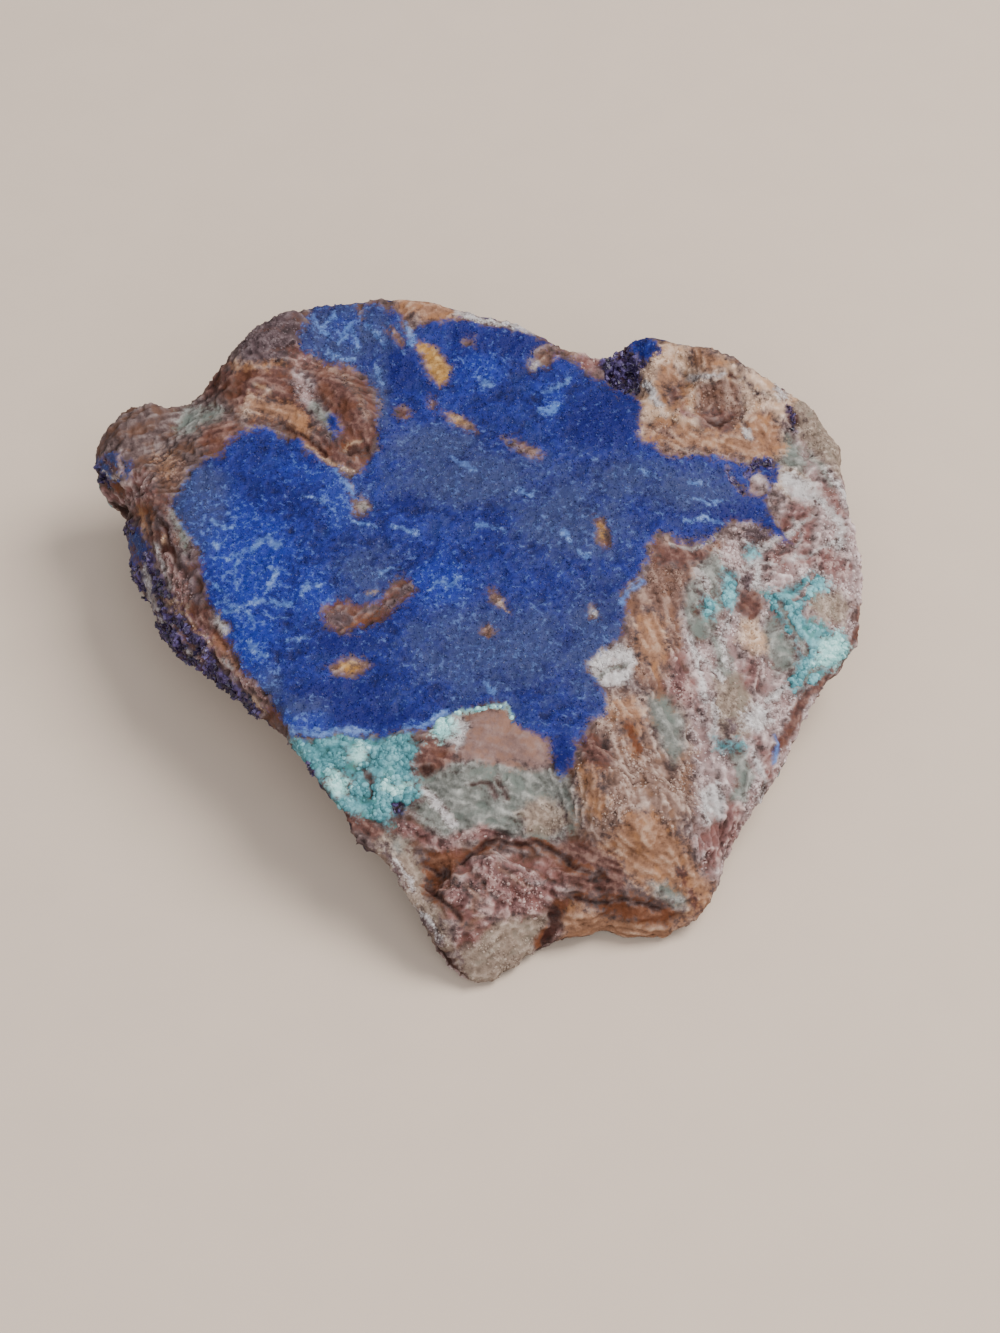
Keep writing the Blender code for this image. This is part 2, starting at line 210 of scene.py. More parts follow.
MATRIX_PATCHES = laid_out(
    # the shoulder on the right
    (Skin.GRANULAR, (780, 370), (880, 390), (890, 620), (880, 680), (800, 760), (750, 870), (705, 880),
     (692, 830), (694, 780), (684, 740), (690, 700), (680, 655), (680, 600), (690, 565), (722, 540),
     (740, 524), (762, 527), (790, 545), (782, 530), (772, 506), (774, 488), (784, 476), (780, 445),
     (786, 420), (780, 400)),
    (Skin.BEIGE, (786, 376), (830, 384), (858, 430), (862, 470), (838, 476), (812, 452), (792, 424)),
    (Skin.GREEN_GREY, (690, 556), (712, 548), (726, 566), (724, 606), (712, 636), (692, 640), (682, 610)),
    (Skin.GREEN_GREY, (768, 436), (790, 432), (806, 466), (802, 488), (784, 490), (776, 468)),
    (Skin.GREEN_GREY, (766, 618), (784, 622), (796, 645), (796, 672), (778, 674), (766, 650)),
    (Skin.BEIGE, (716, 680), (738, 676), (752, 700), (748, 736), (724, 740), (712, 712)),
    (Skin.BROWN, (722, 718), (738, 714), (744, 730), (730, 738)),
    (Skin.BROWN, (736, 574), (750, 570), (764, 580), (760, 592), (744, 596)),
    (Skin.BROWN, (742, 524), (768, 524), (784, 540), (776, 552), (750, 548), (738, 536)),
    (Skin.ROSE, (790, 500), (806, 500), (816, 526), (804, 545), (786, 562), (768, 572), (762, 558),
     (780, 540)),
    (Skin.ROSE, (800, 548), (830, 550), (850, 566), (846, 580), (820, 566), (800, 562)),
    (Skin.ROSE, (664, 655), (684, 656), (696, 690), (696, 712), (678, 700), (666, 680)),
    (Skin.ROSE, (744, 650), (758, 660), (762, 690), (748, 682)),
    (Skin.ROSE, (700, 840), (728, 800), (742, 812), (730, 850), (708, 870)),
    (Skin.RUST, (740, 590), (756, 590), (764, 606), (752, 618), (738, 608)),
    (Skin.CREAM, (742, 620), (758, 616), (766, 650), (750, 656), (740, 640)),
    (Skin.CHALK, (744, 716), (756, 704), (768, 710), (772, 722), (758, 732), (746, 730)),
    (Skin.BEIGE, (812, 592), (836, 592), (850, 604), (844, 622), (822, 622), (810, 608)),
    (Skin.GREEN_GREY, 12, (716, 640), (726, 660), (722, 676)),
    (Skin.CHALK, 4, (690, 640), (700, 672), (704, 700)),
    (Skin.CHALK, 4, (728, 620), (722, 640), (728, 664)),
    (Skin.CHALK, 4, (784, 560), (808, 556), (836, 540)),
    (Skin.CHALK, 4, (752, 752), (766, 780), (760, 806)),
    (Skin.GREEN_GREY, 14, (738, 756), (746, 776), (740, 796)),
    (Skin.CHALK, 8, (820, 500), (834, 512), (842, 530), (840, 546)),
    (Skin.CHALK, 5, (826, 470), (840, 486), (850, 506)),
    (Skin.ROSE, 5, (824, 484), (832, 498), (842, 512)),
    (Skin.GREEN_GREY, 7, (812, 456), (822, 468), (830, 486)),
    (Skin.CHALK, 4, (792, 520), (800, 534), (796, 548)),
    (Skin.BROWN, 3, (752, 560), (768, 552), (790, 548)),
    (Skin.CHALK, 3.4, (746, 568), (762, 562), (780, 566)),
    (Skin.CHALK, 3.4, (700, 660), (712, 668), (722, 680)),
    (Skin.BROWN, 3, (694, 700), (706, 716), (708, 734)),
    (Skin.CHALK, 3.4, (712, 700), (716, 720), (712, 740)),
    (Skin.ROSE, 6, (756, 740), (766, 756), (770, 776)),
    (Skin.BROWN, 2.4, (690, 566), (700, 590), (698, 616)),
    (Skin.CHALK, 2.4, (694, 570), (706, 580), (712, 600)),
    (Skin.CHALK, (700, 790), (716, 784), (730, 800), (724, 820), (704, 824)),
    (Skin.CHALK, 7, (762, 548), (790, 534), (812, 514)),
    (Skin.CHALK, 6, (760, 560), (756, 585), (772, 596)),
    (Skin.CHALK, 6, (768, 700), (790, 684), (808, 664)),
    (Skin.RUST, 7, (862, 606), (856, 636), (842, 662), (826, 676)),
    (Skin.RUST, 9, (826, 676), (802, 704), (786, 736), (776, 750)),
    # the seam between the azurite and the shoulder, down to the front
    (Skin.FIBROUS, (600, 700), (618, 688), (640, 694), (662, 688), (682, 705), (690, 740), (696, 780),
     (692, 815), (670, 832), (640, 842), (605, 842), (584, 838), (578, 800), (574, 770), (580, 745),
     (590, 730)),
    (Skin.TAN, (648, 546), (662, 537), (680, 543), (700, 545), (713, 539), (724, 541), (704, 556),
     (692, 570), (682, 600), (679, 622), (682, 642), (676, 660), (670, 680), (660, 691), (644, 690),
     (634, 674), (627, 650), (627, 630), (630, 612), (625, 600), (640, 587), (649, 570)),
    (Skin.AMBER, (636, 622), (650, 606), (664, 620), (668, 650), (658, 676), (644, 664), (634, 642)),
    (Skin.RUST, (652, 542), (690, 544), (716, 538), (706, 558), (684, 566), (658, 566)),
    (Skin.GREEN_GREY, (644, 692), (668, 694), (684, 716), (688, 748), (676, 766), (660, 750), (650, 720)),
    (Skin.AMBER, (616, 702), (632, 698), (642, 712), (642, 736), (634, 750), (626, 738), (622, 720)),
    (Skin.EMBER, 7, (628, 720), (634, 736), (638, 750)),
    (Skin.RUST, (577, 744), (590, 732), (606, 740), (612, 762), (600, 772), (584, 762)),
    (Skin.AMBER, (582, 764), (598, 772), (606, 800), (600, 818), (588, 808), (580, 786)),
    (Skin.CREAM, 5, (580, 770), (582, 792), (588, 816)),
    (Skin.AMBER, (612, 832), (628, 816), (648, 812), (674, 830), (688, 845), (696, 866), (686, 886),
     (664, 892), (640, 888), (624, 880), (610, 866), (602, 846)),
    (Skin.AMBER, (668, 866), (696, 866), (712, 890), (714, 914), (698, 922), (684, 906), (674, 888)),
    (Skin.RUST, 10, (680, 872), (692, 896), (702, 914)),
    (Skin.GREEN_GREY, (648, 882), (668, 880), (682, 893), (692, 908), (676, 908), (658, 898)),
    # the ledge and the crevices in front of it
    (Skin.AMBER, (556, 905), (582, 908), (612, 914), (640, 924), (684, 920), (712, 905), (712, 970),
     (556, 970)),
    (Skin.RUST, (545, 846), (575, 842), (600, 843), (618, 856), (630, 878), (622, 894), (592, 894),
     (570, 886), (552, 872)),
    (Skin.EMBER, (572, 896), (600, 898), (640, 896), (664, 904), (676, 912), (668, 924), (640, 922),
     (600, 914)),
    # painted shadow: the dark line along the ledge's top edge
    (Skin.DARK, 4, (574, 900), (600, 905), (626, 900), (648, 905), (660, 911)),
    # the front slope and the lump below it
    (Skin.GREEN_GREY, (416, 778), (438, 768), (455, 764), (480, 767), (510, 768), (545, 768), (562, 776),
     (574, 788), (579, 805), (578, 826), (570, 836), (540, 842), (500, 838), (470, 840), (455, 842),
     (440, 838), (424, 824), (410, 808)),
    (Skin.BEIGE, (520, 812), (540, 800), (562, 806), (572, 822), (552, 834), (526, 832)),
    (Skin.CHALK, 5, (424, 790), (440, 806), (452, 824)),
    (Skin.DARK, 3, (496, 780), (504, 790), (506, 796)),
    (Skin.ROSE, (444, 884), (468, 862), (500, 856), (546, 862), (562, 880), (556, 905), (535, 914),
     (500, 916), (482, 926), (470, 946), (456, 940), (450, 908)),
    (Skin.TAN, 6, (446, 888), (458, 878), (474, 872)),
    (Skin.TAN, 9, (466, 886), (478, 896), (474, 910)),
    (Skin.TAN, 7, (498, 866), (512, 880), (530, 886)),
    (Skin.TAN, 8, (460, 916), (468, 930), (482, 916)),
    (Skin.GRANULAR, 4, (458, 882), (468, 874), (476, 870)),
    (Skin.GRANULAR, 4, (480, 884), (490, 896), (506, 898)),
    (Skin.GRANULAR, 4, (520, 868), (530, 880), (544, 884)),
    (Skin.EMBER, 3, (476, 876), (486, 888), (484, 902)),
    (Skin.EMBER, 3, (530, 866), (540, 876), (552, 882)),
    (Skin.BEIGE, (462, 950), (480, 936), (502, 918), (530, 914), (552, 914), (548, 935), (534, 952),
     (520, 968), (506, 985), (478, 1000), (460, 985)),
    (Skin.BEIGE, (372, 836), (402, 842), (420, 858), (424, 884), (440, 912), (452, 950), (430, 950),
     (388, 880)),
    (Skin.CHALK, 3, (396, 864), (406, 876), (414, 890)),
    (Skin.BROWN, 7, (382, 846), (394, 866), (404, 888)),
    (Skin.BROWN, 7, (420, 916), (434, 930), (444, 948)),
    (Skin.CHALK, 4, (414, 908), (426, 916), (440, 936)),
    (Skin.GREEN_GREY, (388, 838), (402, 838), (406, 854), (394, 858)),
    (Skin.ROSE, 12, (386, 822), (410, 828), (430, 838), (452, 848)),
    (Skin.ROSE, 10, (452, 840), (480, 833), (505, 838), (525, 845)),
    (Skin.RUST, 16, (326, 806), (352, 818), (374, 832)),
    (Skin.EMBER, (422, 860), (440, 848), (459, 848), (462, 866), (452, 880), (440, 888), (430, 898),
     (423, 884)),
    (Skin.EMBER, 8, (426, 884), (434, 896), (450, 906), (462, 924)),
    # painted shade in the crevice beside the lump
    (Skin.DARK, 4, (428, 886), (438, 898), (452, 908), (460, 920)),
    (Skin.DARK, 2.4, (424, 866), (436, 876), (444, 872)),
    (Skin.EMBER, 9, (462, 860), (480, 846), (500, 842), (540, 846), (560, 856), (576, 868), (600, 874)),
    (Skin.DARK, 4, (462, 862), (480, 846), (500, 842), (540, 846), (560, 856), (576, 868), (600, 874)),
    (Skin.EMBER, 14, (558, 904), (554, 928), (540, 946)),
    # painted shade in the hollow at the lump's right
    (Skin.DARK, 13, (553, 914), (557, 928), (548, 942)),
    (Skin.ROSE, 3, (560, 932), (552, 944)),
    (Skin.DARK, 7, (412, 915), (436, 950), (458, 975), (476, 990)),
    (Skin.RUST, (412, 742), (438, 738), (452, 746), (456, 760), (440, 768), (420, 772), (412, 758)),
    # the knob at the back right
    (Skin.CREAM, (640, 365), (652, 344), (690, 340), (716, 354), (736, 366), (762, 374), (788, 380),
     (798, 395), (790, 412), (780, 424), (784, 445), (778, 458), (760, 460), (742, 462), (720, 457),
     (700, 453), (680, 457), (664, 452), (650, 443), (638, 432), (641, 412), (639, 395)),
    (Skin.BEIGE, 5, (742, 378), (756, 392), (776, 398)),
    (Skin.CHALK, 7, (778, 388), (784, 396)),
    (Skin.CHALK, 5, (690, 378), (706, 374), (722, 374)),
    (Skin.CHALK, 8, (648, 384), (654, 396), (660, 404)),
    (Skin.ROSE, 4, (682, 408), (690, 414)),
    (Skin.EMBER, 4, (660, 426), (668, 434)),
    (Skin.AMBER, (643, 424), (664, 418), (690, 426), (712, 434), (732, 434), (748, 416), (768, 410),
     (784, 426), (780, 448), (764, 456), (742, 462), (718, 457), (700, 453), (680, 456), (662, 449),
     (646, 440)),
    (Skin.TAN, (656, 422), (672, 424), (680, 436), (668, 442), (656, 436)),
    (Skin.TAN, 7, (650, 442), (668, 451), (684, 453), (702, 449), (722, 454), (742, 458)),
    (Skin.AMBER, (658, 374), (670, 364), (686, 378), (688, 396), (674, 410), (660, 400)),
    (Skin.RUST, (664, 386), (678, 384), (682, 398), (672, 404)),
    (Skin.AMBER, (688, 346), (712, 348), (724, 364), (706, 372), (690, 364)),
    (Skin.TAN, (700, 384), (722, 378), (742, 388), (744, 414), (736, 432), (714, 436), (700, 424),
     (696, 402)),
    (Skin.RUST, (702, 414), (718, 409), (732, 414), (730, 430), (714, 434), (702, 427)),
    # painted shade at the bottom of the hollow
    (Skin.DARK, 5, (710, 422), (718, 425), (724, 421)),
    (Skin.DARK, 3, (742, 420), (746, 426)),
    # painted highlight: a white glint on the knob
    (Skin.CHALK, 7, (744, 428), (749, 436)),
    # painted shade in a hole in the knob
    (Skin.DARK, (788, 408), (794, 408), (801, 420), (797, 428), (789, 418)),
    (Skin.INDIGO, 5, (788, 410), (794, 418), (796, 428)),
    (Skin.BROWN, 4, (780, 420), (788, 424)),
    (Skin.CREAM, (780, 468), (798, 472), (818, 490), (808, 504), (790, 500), (780, 486)),
    (Skin.CHALK, (782, 472), (798, 474), (820, 488), (822, 502), (804, 506), (786, 494)),
    (Skin.BROWN, 5, (824, 400), (836, 424), (846, 450)),
    (Skin.DARK, (727, 369), (740, 376), (738, 381), (728, 375)),
    # the rusty mound in the azurite
    (Skin.RUST, (226, 362), (262, 358), (285, 360), (300, 350), (316, 362), (335, 360), (352, 368),
     (366, 384), (375, 404), (378, 424), (373, 446), (364, 462), (358, 473), (344, 468), (330, 461),
     (315, 450), (305, 438), (290, 428), (270, 422), (248, 422), (236, 412), (228, 396), (236, 380)),
    (Skin.BROWN, (290, 366), (306, 370), (318, 383), (324, 400), (332, 412), (340, 428), (342, 442),
     (330, 440), (317, 425), (304, 410), (294, 395), (288, 380)),
    (Skin.EMBER, 8, (344, 446), (352, 456), (360, 452)),
    (Skin.GRANULAR, 9, (296, 374), (306, 388), (313, 402)),
    (Skin.GREEN_GREY, 8, (316, 406), (326, 420), (332, 432)),
    (Skin.AMBER, (250, 398), (268, 400), (288, 404), (302, 414), (316, 430), (306, 436), (286, 422),
     (252, 414)),
    (Skin.AMBER, 8, (236, 366), (262, 362), (284, 362)),
    (Skin.TAN, 8, (318, 362), (342, 374), (358, 392), (366, 416)),
    # the weathered back left and the left rim
    (Skin.BROWN, (236, 366), (240, 345), (252, 322), (270, 308), (300, 300), (304, 340), (290, 360)),
    (Skin.GREEN_GREY, (180, 414), (204, 404), (224, 408), (220, 424), (196, 434), (180, 430)),
    (Skin.TAN, (152, 458), (170, 450), (186, 462), (180, 480), (158, 482)),
    (Skin.AMBER, (158, 460), (170, 456), (176, 464), (166, 472)),
    (Skin.RUST, (200, 428), (228, 416), (242, 426), (232, 446), (212, 452), (198, 446)),
    (Skin.RUST, (196, 380), (220, 366), (238, 372), (226, 396), (204, 400)),
    (Skin.RUST, (131, 500), (150, 492), (164, 500), (170, 520), (184, 545), (200, 560), (205, 590),
     (212, 615), (225, 635), (240, 660), (255, 678), (268, 698), (280, 722), (268, 716), (256, 702),
     (246, 690), (236, 682), (225, 668), (212, 652), (200, 635), (188, 618), (178, 600), (168, 585),
     (158, 562), (150, 545), (138, 525)),
    (Skin.BROWN, (166, 498), (182, 500), (196, 548), (204, 580), (190, 576), (176, 546), (166, 520)),
    (Skin.BROWN, 14, (154, 512), (164, 530), (172, 552)),
    (Skin.DARK, 3, (160, 520), (166, 534), (170, 546)),
    (Skin.EMBER, 9, (144, 502), (150, 514), (150, 524)),
    (Skin.AMBER, 4, (140, 504), (142, 516), (148, 530)),
    (Skin.GREEN_GREY, 5, (172, 516), (182, 532), (186, 550)),
    (Skin.BROWN, 13, (180, 560), (190, 580), (198, 600)),
    (Skin.ROSE, 6, (162, 560), (172, 578), (182, 600)),
    (Skin.CREAM, 3, (163, 540), (168, 560), (182, 588)),
    (Skin.INDIGO, (118, 524), (134, 521), (146, 545), (156, 562), (166, 582), (176, 600), (186, 614),
     (200, 635), (212, 655), (226, 672), (240, 688), (254, 698), (264, 708), (250, 730), (150, 660),
     (100, 580)),
    (Skin.AZURITE, (98, 460), (112, 454), (128, 460), (128, 474), (116, 480), (102, 478)),
    (Skin.ROSE, 5, (104, 458), (112, 466), (124, 472)),
    (Skin.GRANULAR, 4, (118, 456), (122, 466), (116, 476)),
    (Skin.EMBER, 6, (102, 486), (114, 488), (124, 496)),
    (Skin.INDIGO, 6, (97, 462), (103, 476), (110, 486)),
    (Skin.ROSE, (128, 480), (144, 474), (150, 484), (144, 498), (132, 500), (126, 492)),
    (Skin.DARK, 3, (136, 486), (140, 494)),
    (Skin.CHALK, 4, (118, 500), (128, 508)),
    (Skin.CHALK, 3, (106, 472), (116, 478)),
    (Skin.ROSE, 7, (100, 490), (114, 498), (128, 508)),
    (Skin.DARK, (100, 502), (114, 502), (126, 508), (136, 520), (110, 522)),
    (Skin.DARK, (156, 546), (172, 544), (180, 560), (176, 572), (162, 566)),
    (Skin.AZURITE, (127, 532), (140, 530), (147, 546), (143, 562), (134, 562), (128, 548)),
    (Skin.CHALK, 6, (143, 564), (147, 576), (150, 588)),
    (Skin.CHALK, 5, (156, 546), (164, 566), (172, 588)),
    (Skin.ROSE, 7, (166, 556), (176, 574), (184, 592)),
    (Skin.CHALK, 5, (149, 590), (154, 606), (162, 620)),
    (Skin.TAN, 6, (158, 596), (170, 602), (186, 612)),
    (Skin.CREAM, 4, (168, 604), (176, 600), (184, 604)),
    (Skin.CREAM, 4, (170, 612), (178, 608)),
    (Skin.CHALK, 5, (186, 650), (194, 656)),
    (Skin.CHALK, 5, (196, 668), (204, 674)),
    (Skin.ROSE, 4, (176, 626), (188, 642), (202, 660)),
    (Skin.ROSE, 5, (232, 700), (246, 710)),
    (Skin.ROSE, 5, (206, 676), (218, 690), (232, 702)),
    (Skin.RUST, 4, (128, 540), (136, 556), (142, 568)),
    (Skin.ROSE, 8, (192, 622), (208, 642), (224, 660), (242, 678)),
    (Skin.AMBER, 5, (212, 640), (226, 656), (240, 674)),
    (Skin.CREAM, 4, (186, 612), (196, 628), (210, 646), (222, 660)),
    (Skin.DARK, 2.4, (212, 652), (220, 662), (228, 676)),
    # painted highlight on the wall's lit top edge
    (Skin.CHALK, 5, (224, 658), (232, 670), (236, 678)),
    (Skin.ROSE, 7, (240, 678), (254, 686), (264, 700)),
    (Skin.CREAM, 7, (252, 698), (262, 710)),
    (Skin.BEIGE, 4, (168, 606), (180, 612), (188, 606)),
)

CRUST_PATCHES = laid_out(
    (Skin.AZURITE, (172, 506), (180, 490), (190, 474), (204, 460), (222, 455), (228, 445), (238, 436),
     (250, 430), (270, 430), (285, 437), (299, 441), (308, 451), (320, 463), (336, 467), (350, 478),
     (362, 474), (369, 462), (380, 450), (376, 438), (379, 420), (381, 402), (374, 386), (362, 372),
     (350, 364), (330, 360), (312, 357), (302, 346), (301, 332), (309, 322), (311, 310), (326, 304),
     (345, 302), (355, 304), (361, 320), (367, 303), (385, 308), (400, 314), (403, 328), (410, 337),
     (418, 326), (428, 321), (442, 324), (455, 322), (470, 320), (490, 327), (505, 330), (530, 335),
     (545, 342), (553, 352), (565, 358), (577, 362), (585, 373), (598, 379), (612, 386), (622, 392),
     (630, 398), (638, 403), (641, 416), (637, 428), (641, 442), (655, 446), (665, 456), (682, 458),
     (700, 455), (720, 459), (740, 461), (752, 464), (768, 458), (778, 465), (779, 478), (771, 487),
     (765, 500), (772, 516), (782, 532), (790, 543), (776, 537), (762, 524), (745, 520), (731, 520),
     (722, 530), (716, 537), (700, 543), (685, 541), (668, 533), (655, 536), (647, 545), (646, 562),
     (640, 578), (628, 586), (620, 596), (625, 610), (624, 625), (617, 640), (604, 648), (592, 654),
     (584, 665), (592, 678), (603, 690), (606, 702), (600, 716), (590, 722), (583, 732), (576, 745),
     (572, 758), (567, 768), (561, 777), (556, 770), (552, 758), (552, 748), (545, 738), (536, 731),
     (522, 727), (514, 717), (509, 706), (498, 702), (480, 706), (462, 708), (450, 714), (440, 722),
     (428, 728), (415, 733), (400, 732), (385, 736), (368, 739), (350, 736), (335, 732), (318, 738),
     (300, 740), (290, 730), (276, 710), (264, 692), (252, 678), (240, 662), (232, 645), (224, 625),
     (214, 610), (206, 596), (203, 575), (200, 552), (192, 538), (180, 522)),
    (Skin.AZURITE, (328, 416), (336, 418), (342, 430), (336, 438), (328, 430)),
    (Skin.SKY, 5, (775, 736), (778, 748), (776, 762)),
    # what breaks through the azurite
    (Skin.GRANULAR, (748, 480), (758, 474), (766, 480), (770, 492), (760, 498), (750, 494)),
    (Skin.INDIGO, 7, (746, 474), (756, 464), (770, 466), (776, 478)),
    (Skin.AZURITE, (764, 470), (774, 470), (776, 482), (766, 482)),
    (Skin.INDIGO, 5, (728, 470), (732, 484), (744, 494)),
    # painted shade along the mound's foot
    (Skin.DARK, 3, (258, 424), (290, 428), (310, 438), (326, 455)),
    (Skin.CREAM, 4, (306, 444), (322, 457), (342, 468), (354, 470)),
    (Skin.CREAM, 4, (345, 448), (352, 442), (362, 440)),
    # painted shade in the pit on the mound's lip
    (Skin.DARK, (345, 450), (356, 444), (363, 450), (356, 457), (347, 458)),
    # painted highlight: white glints on the mound
    (Skin.CREAM, 4, (254, 384), (262, 388), (270, 392)),
    (Skin.CREAM, (240, 408), (250, 406), (252, 415), (242, 416)),
    (Skin.ROSE, (296, 346), (306, 350), (308, 360), (298, 358)),
    (Skin.RUST, (322, 607), (334, 600), (352, 601), (368, 604), (380, 600), (388, 589), (398, 580),
     (411, 579), (417, 590), (408, 600), (396, 606), (389, 617), (375, 625), (360, 628), (345, 636),
     (332, 634), (324, 622)),
    (Skin.BEIGE, 6, (368, 596), (377, 592)),
    (Skin.BROWN, (324, 612), (340, 606), (356, 612), (352, 626), (338, 630), (327, 624)),
    (Skin.EMBER, 5, (346, 628), (362, 622), (378, 612)),
    (Skin.BROWN, 5, (358, 612), (372, 608), (384, 608)),
    # painted shadow along the island's lower edge
    (Skin.DARK, 2.4, (336, 634), (356, 628), (374, 623)),
    (Skin.BROWN, 8, (390, 604), (400, 594), (408, 586)),
    (Skin.TAN, (326, 666), (338, 659), (352, 657), (365, 661), (370, 668), (360, 675), (348, 678),
     (332, 674)),
    (Skin.OCHRE, (340, 665), (349, 662), (358, 667), (349, 671)),
    (Skin.OCHRE, (416, 343), (427, 342), (437, 347), (444, 357), (451, 367), (448, 382), (440, 388),
     (428, 374)),
    (Skin.TAN, (386, 328), (395, 329), (403, 335), (408, 342), (403, 346), (394, 340)),
    (Skin.TAN, (430, 398), (437, 403), (435, 411), (428, 407)),
    (Skin.TAN, (442, 412), (456, 414), (470, 421), (478, 431), (466, 430), (450, 422)),
    (Skin.OCHRE, (448, 414), (458, 416), (466, 423), (456, 424)),
    (Skin.BROWN, (504, 438), (520, 441), (536, 449), (545, 456), (532, 459), (518, 454), (507, 446)),
    (Skin.TAN, (520, 444), (532, 448), (540, 456), (528, 456)),
    (Skin.TAN, (462, 340), (473, 339), (474, 343), (464, 345)),
    (Skin.RUST, (396, 406), (408, 409), (411, 418), (403, 422), (397, 415)),
    (Skin.RUST, (594, 517), (603, 519), (608, 530), (611, 545), (603, 551), (596, 538)),
    (Skin.OCHRE, (598, 524), (604, 526), (606, 540), (600, 538)),
    (Skin.BROWN, (588, 605), (595, 607), (597, 618), (590, 620)),
    (Skin.CHALK, 4, (592, 612), (597, 616)),
    (Skin.TAN, (488, 587), (497, 590), (503, 600), (507, 611), (500, 609), (491, 601)),
    (Skin.CREAM, 3, (500, 602), (508, 614)),
    (Skin.TAN, (483, 623), (493, 623), (496, 633), (489, 640), (480, 632)),
    (Skin.BEIGE, 5, (350, 486), (352, 492)),
    (Skin.TAN, (352, 502), (364, 499), (374, 507), (366, 515), (354, 512)),
    (Skin.GREEN_GREY, (356, 503), (366, 502), (372, 509), (362, 513)),
    (Skin.TAN, (534, 350), (548, 346), (556, 356), (548, 368), (534, 366)),
    (Skin.CHALK, (530, 360), (538, 358), (542, 366), (536, 373), (530, 368)),
    (Skin.ROSE, (552, 346), (560, 348), (560, 358), (552, 358)),
    (Skin.CHALK, (213, 612), (220, 613), (227, 624), (229, 636), (222, 634), (214, 624)),
    # pale threads and flecks of light blue in the crust, some of them painted highlights where the crystals
    # sparkle
    (Skin.SKY, 2.4, (212, 520), (222, 526), (233, 527)),
    (Skin.SKY, 5, (214, 544), (216, 547)),
    (Skin.SKY, 6, (256, 548), (268, 538), (278, 545)),
    (Skin.SKY, 2.6, (237, 562), (234, 576), (236, 590)),
    (Skin.SKY, 3.6, (271, 567), (277, 574), (271, 582), (267, 592)),
    (Skin.SKY, 5, (303, 592), (309, 584), (318, 586)),
    (Skin.SKY, 2.4, (207, 583), (222, 590), (229, 600), (218, 603)),
    (Skin.SKY, 3, (247, 604), (266, 602), (290, 605)),
    (Skin.SKY, 3, (224, 610), (248, 612), (253, 622)),
    (Skin.SKY, 4, (250, 642), (256, 652), (268, 656)),
    (Skin.SKY, 2.4, (287, 642), (307, 637)),
    (Skin.SKY, 2.4, (303, 495), (313, 497), (323, 503)),
    (Skin.SKY, 2.4, (352, 522), (372, 527)),
    (Skin.SKY, 2.4, (394, 529), (416, 534)),
    (Skin.SKY, 3, (330, 352), (340, 358), (352, 360)),
    (Skin.SKY, 2.4, (322, 330), (330, 320), (336, 312)),
    (Skin.SKY, 2.4, (350, 330), (358, 342), (356, 352)),
    (Skin.SKY, 2.4, (366, 326), (376, 334), (384, 346)),
    (Skin.SKY, 2, (226, 560), (240, 556), (246, 548)),
    (Skin.SKY, 2, (262, 614), (274, 620), (286, 618)),
    (Skin.SKY, 2.4, (380, 574), (392, 568), (404, 570)),
    (Skin.SKY, 3, (640, 470), (648, 474)),
    (Skin.SKY, 2.4, (690, 484), (698, 482)),
    (Skin.SKY, 4.5, (430, 590), (440, 580), (452, 584), (458, 576)),
    (Skin.SKY, 5, (520, 492), (530, 496)),
    (Skin.SKY, 2.6, (477, 525), (492, 526), (503, 532)),
    (Skin.SKY, 2.4, (562, 532), (572, 542)),
    (Skin.SKY, 2.4, (580, 552), (588, 558)),
    (Skin.SKY, 2.6, (483, 683), (492, 693)),
    # painted highlights: sparkles on the crust
    (Skin.SKY, 6, (482, 382), (490, 386)),
    (Skin.SKY, 4.5, (545, 394), (556, 388), (568, 381)),
    (Skin.SKY, 5.5, (541, 411), (552, 412), (556, 406)),
    (Skin.SKY, 3.4, (405, 320), (410, 334), (414, 342)),
    (Skin.SKY, 3.4, (452, 457), (464, 464), (474, 472)),
    (Skin.SKY, 3, (314, 318), (320, 330), (330, 336)),
    (Skin.SKY, 3, (338, 344), (346, 336), (350, 326)),
    (Skin.SKY, 2.4, (376, 366), (383, 384)),
    (Skin.SKY, 3, (336, 470), (346, 482), (352, 498)),
    (Skin.SKY, 5, (404, 730), (426, 724), (446, 712)),
    (Skin.SKY, 4, (622, 604), (630, 590), (644, 580)),
    (Skin.SKY, 5, (290, 728), (312, 734), (340, 730), (370, 734)),
    (Skin.SKY, 2, (694, 500), (712, 506), (724, 502)),
    (Skin.SKY, 2, (686, 520), (706, 518), (722, 524)),
    # the back rim
    (Skin.AMBER, (394, 286), (436, 290), (460, 300), (458, 318), (440, 322), (420, 318), (404, 314),
     (396, 304)),
    (Skin.CHALK, 6, (456, 313), (480, 319), (505, 324), (532, 331)),
    (Skin.TAN, (536, 320), (560, 330), (604, 340), (604, 360), (586, 362), (566, 356), (550, 346),
     (540, 334)),
    (Skin.ROSE, (580, 356), (600, 354), (603, 372), (596, 379), (585, 373)),
    (Skin.INDIGO, (600, 360), (612, 356), (622, 348), (632, 334), (648, 330), (656, 344), (650, 358),
     (642, 368), (641, 382), (638, 396), (628, 397), (614, 388), (604, 378)),
    (Skin.AZURITE, (630, 338), (650, 336), (656, 350), (644, 360), (632, 352)),
    # the front edge of the crust
    (Skin.PEACH, (450, 718), (468, 711), (490, 709), (508, 707), (514, 720), (526, 728), (540, 733),
     (550, 745), (553, 755), (545, 766), (528, 769), (510, 765), (490, 764), (470, 762), (458, 756),
     (450, 742), (446, 730)),
    (Skin.CHALK, (446, 722), (462, 714), (470, 722), (464, 744), (456, 754), (448, 742)),
    (Skin.MINT, (436, 722), (448, 715), (456, 720), (452, 734), (442, 740), (434, 734)),
    (Skin.MINT, 3, (458, 711), (480, 708), (506, 704), (514, 716)),
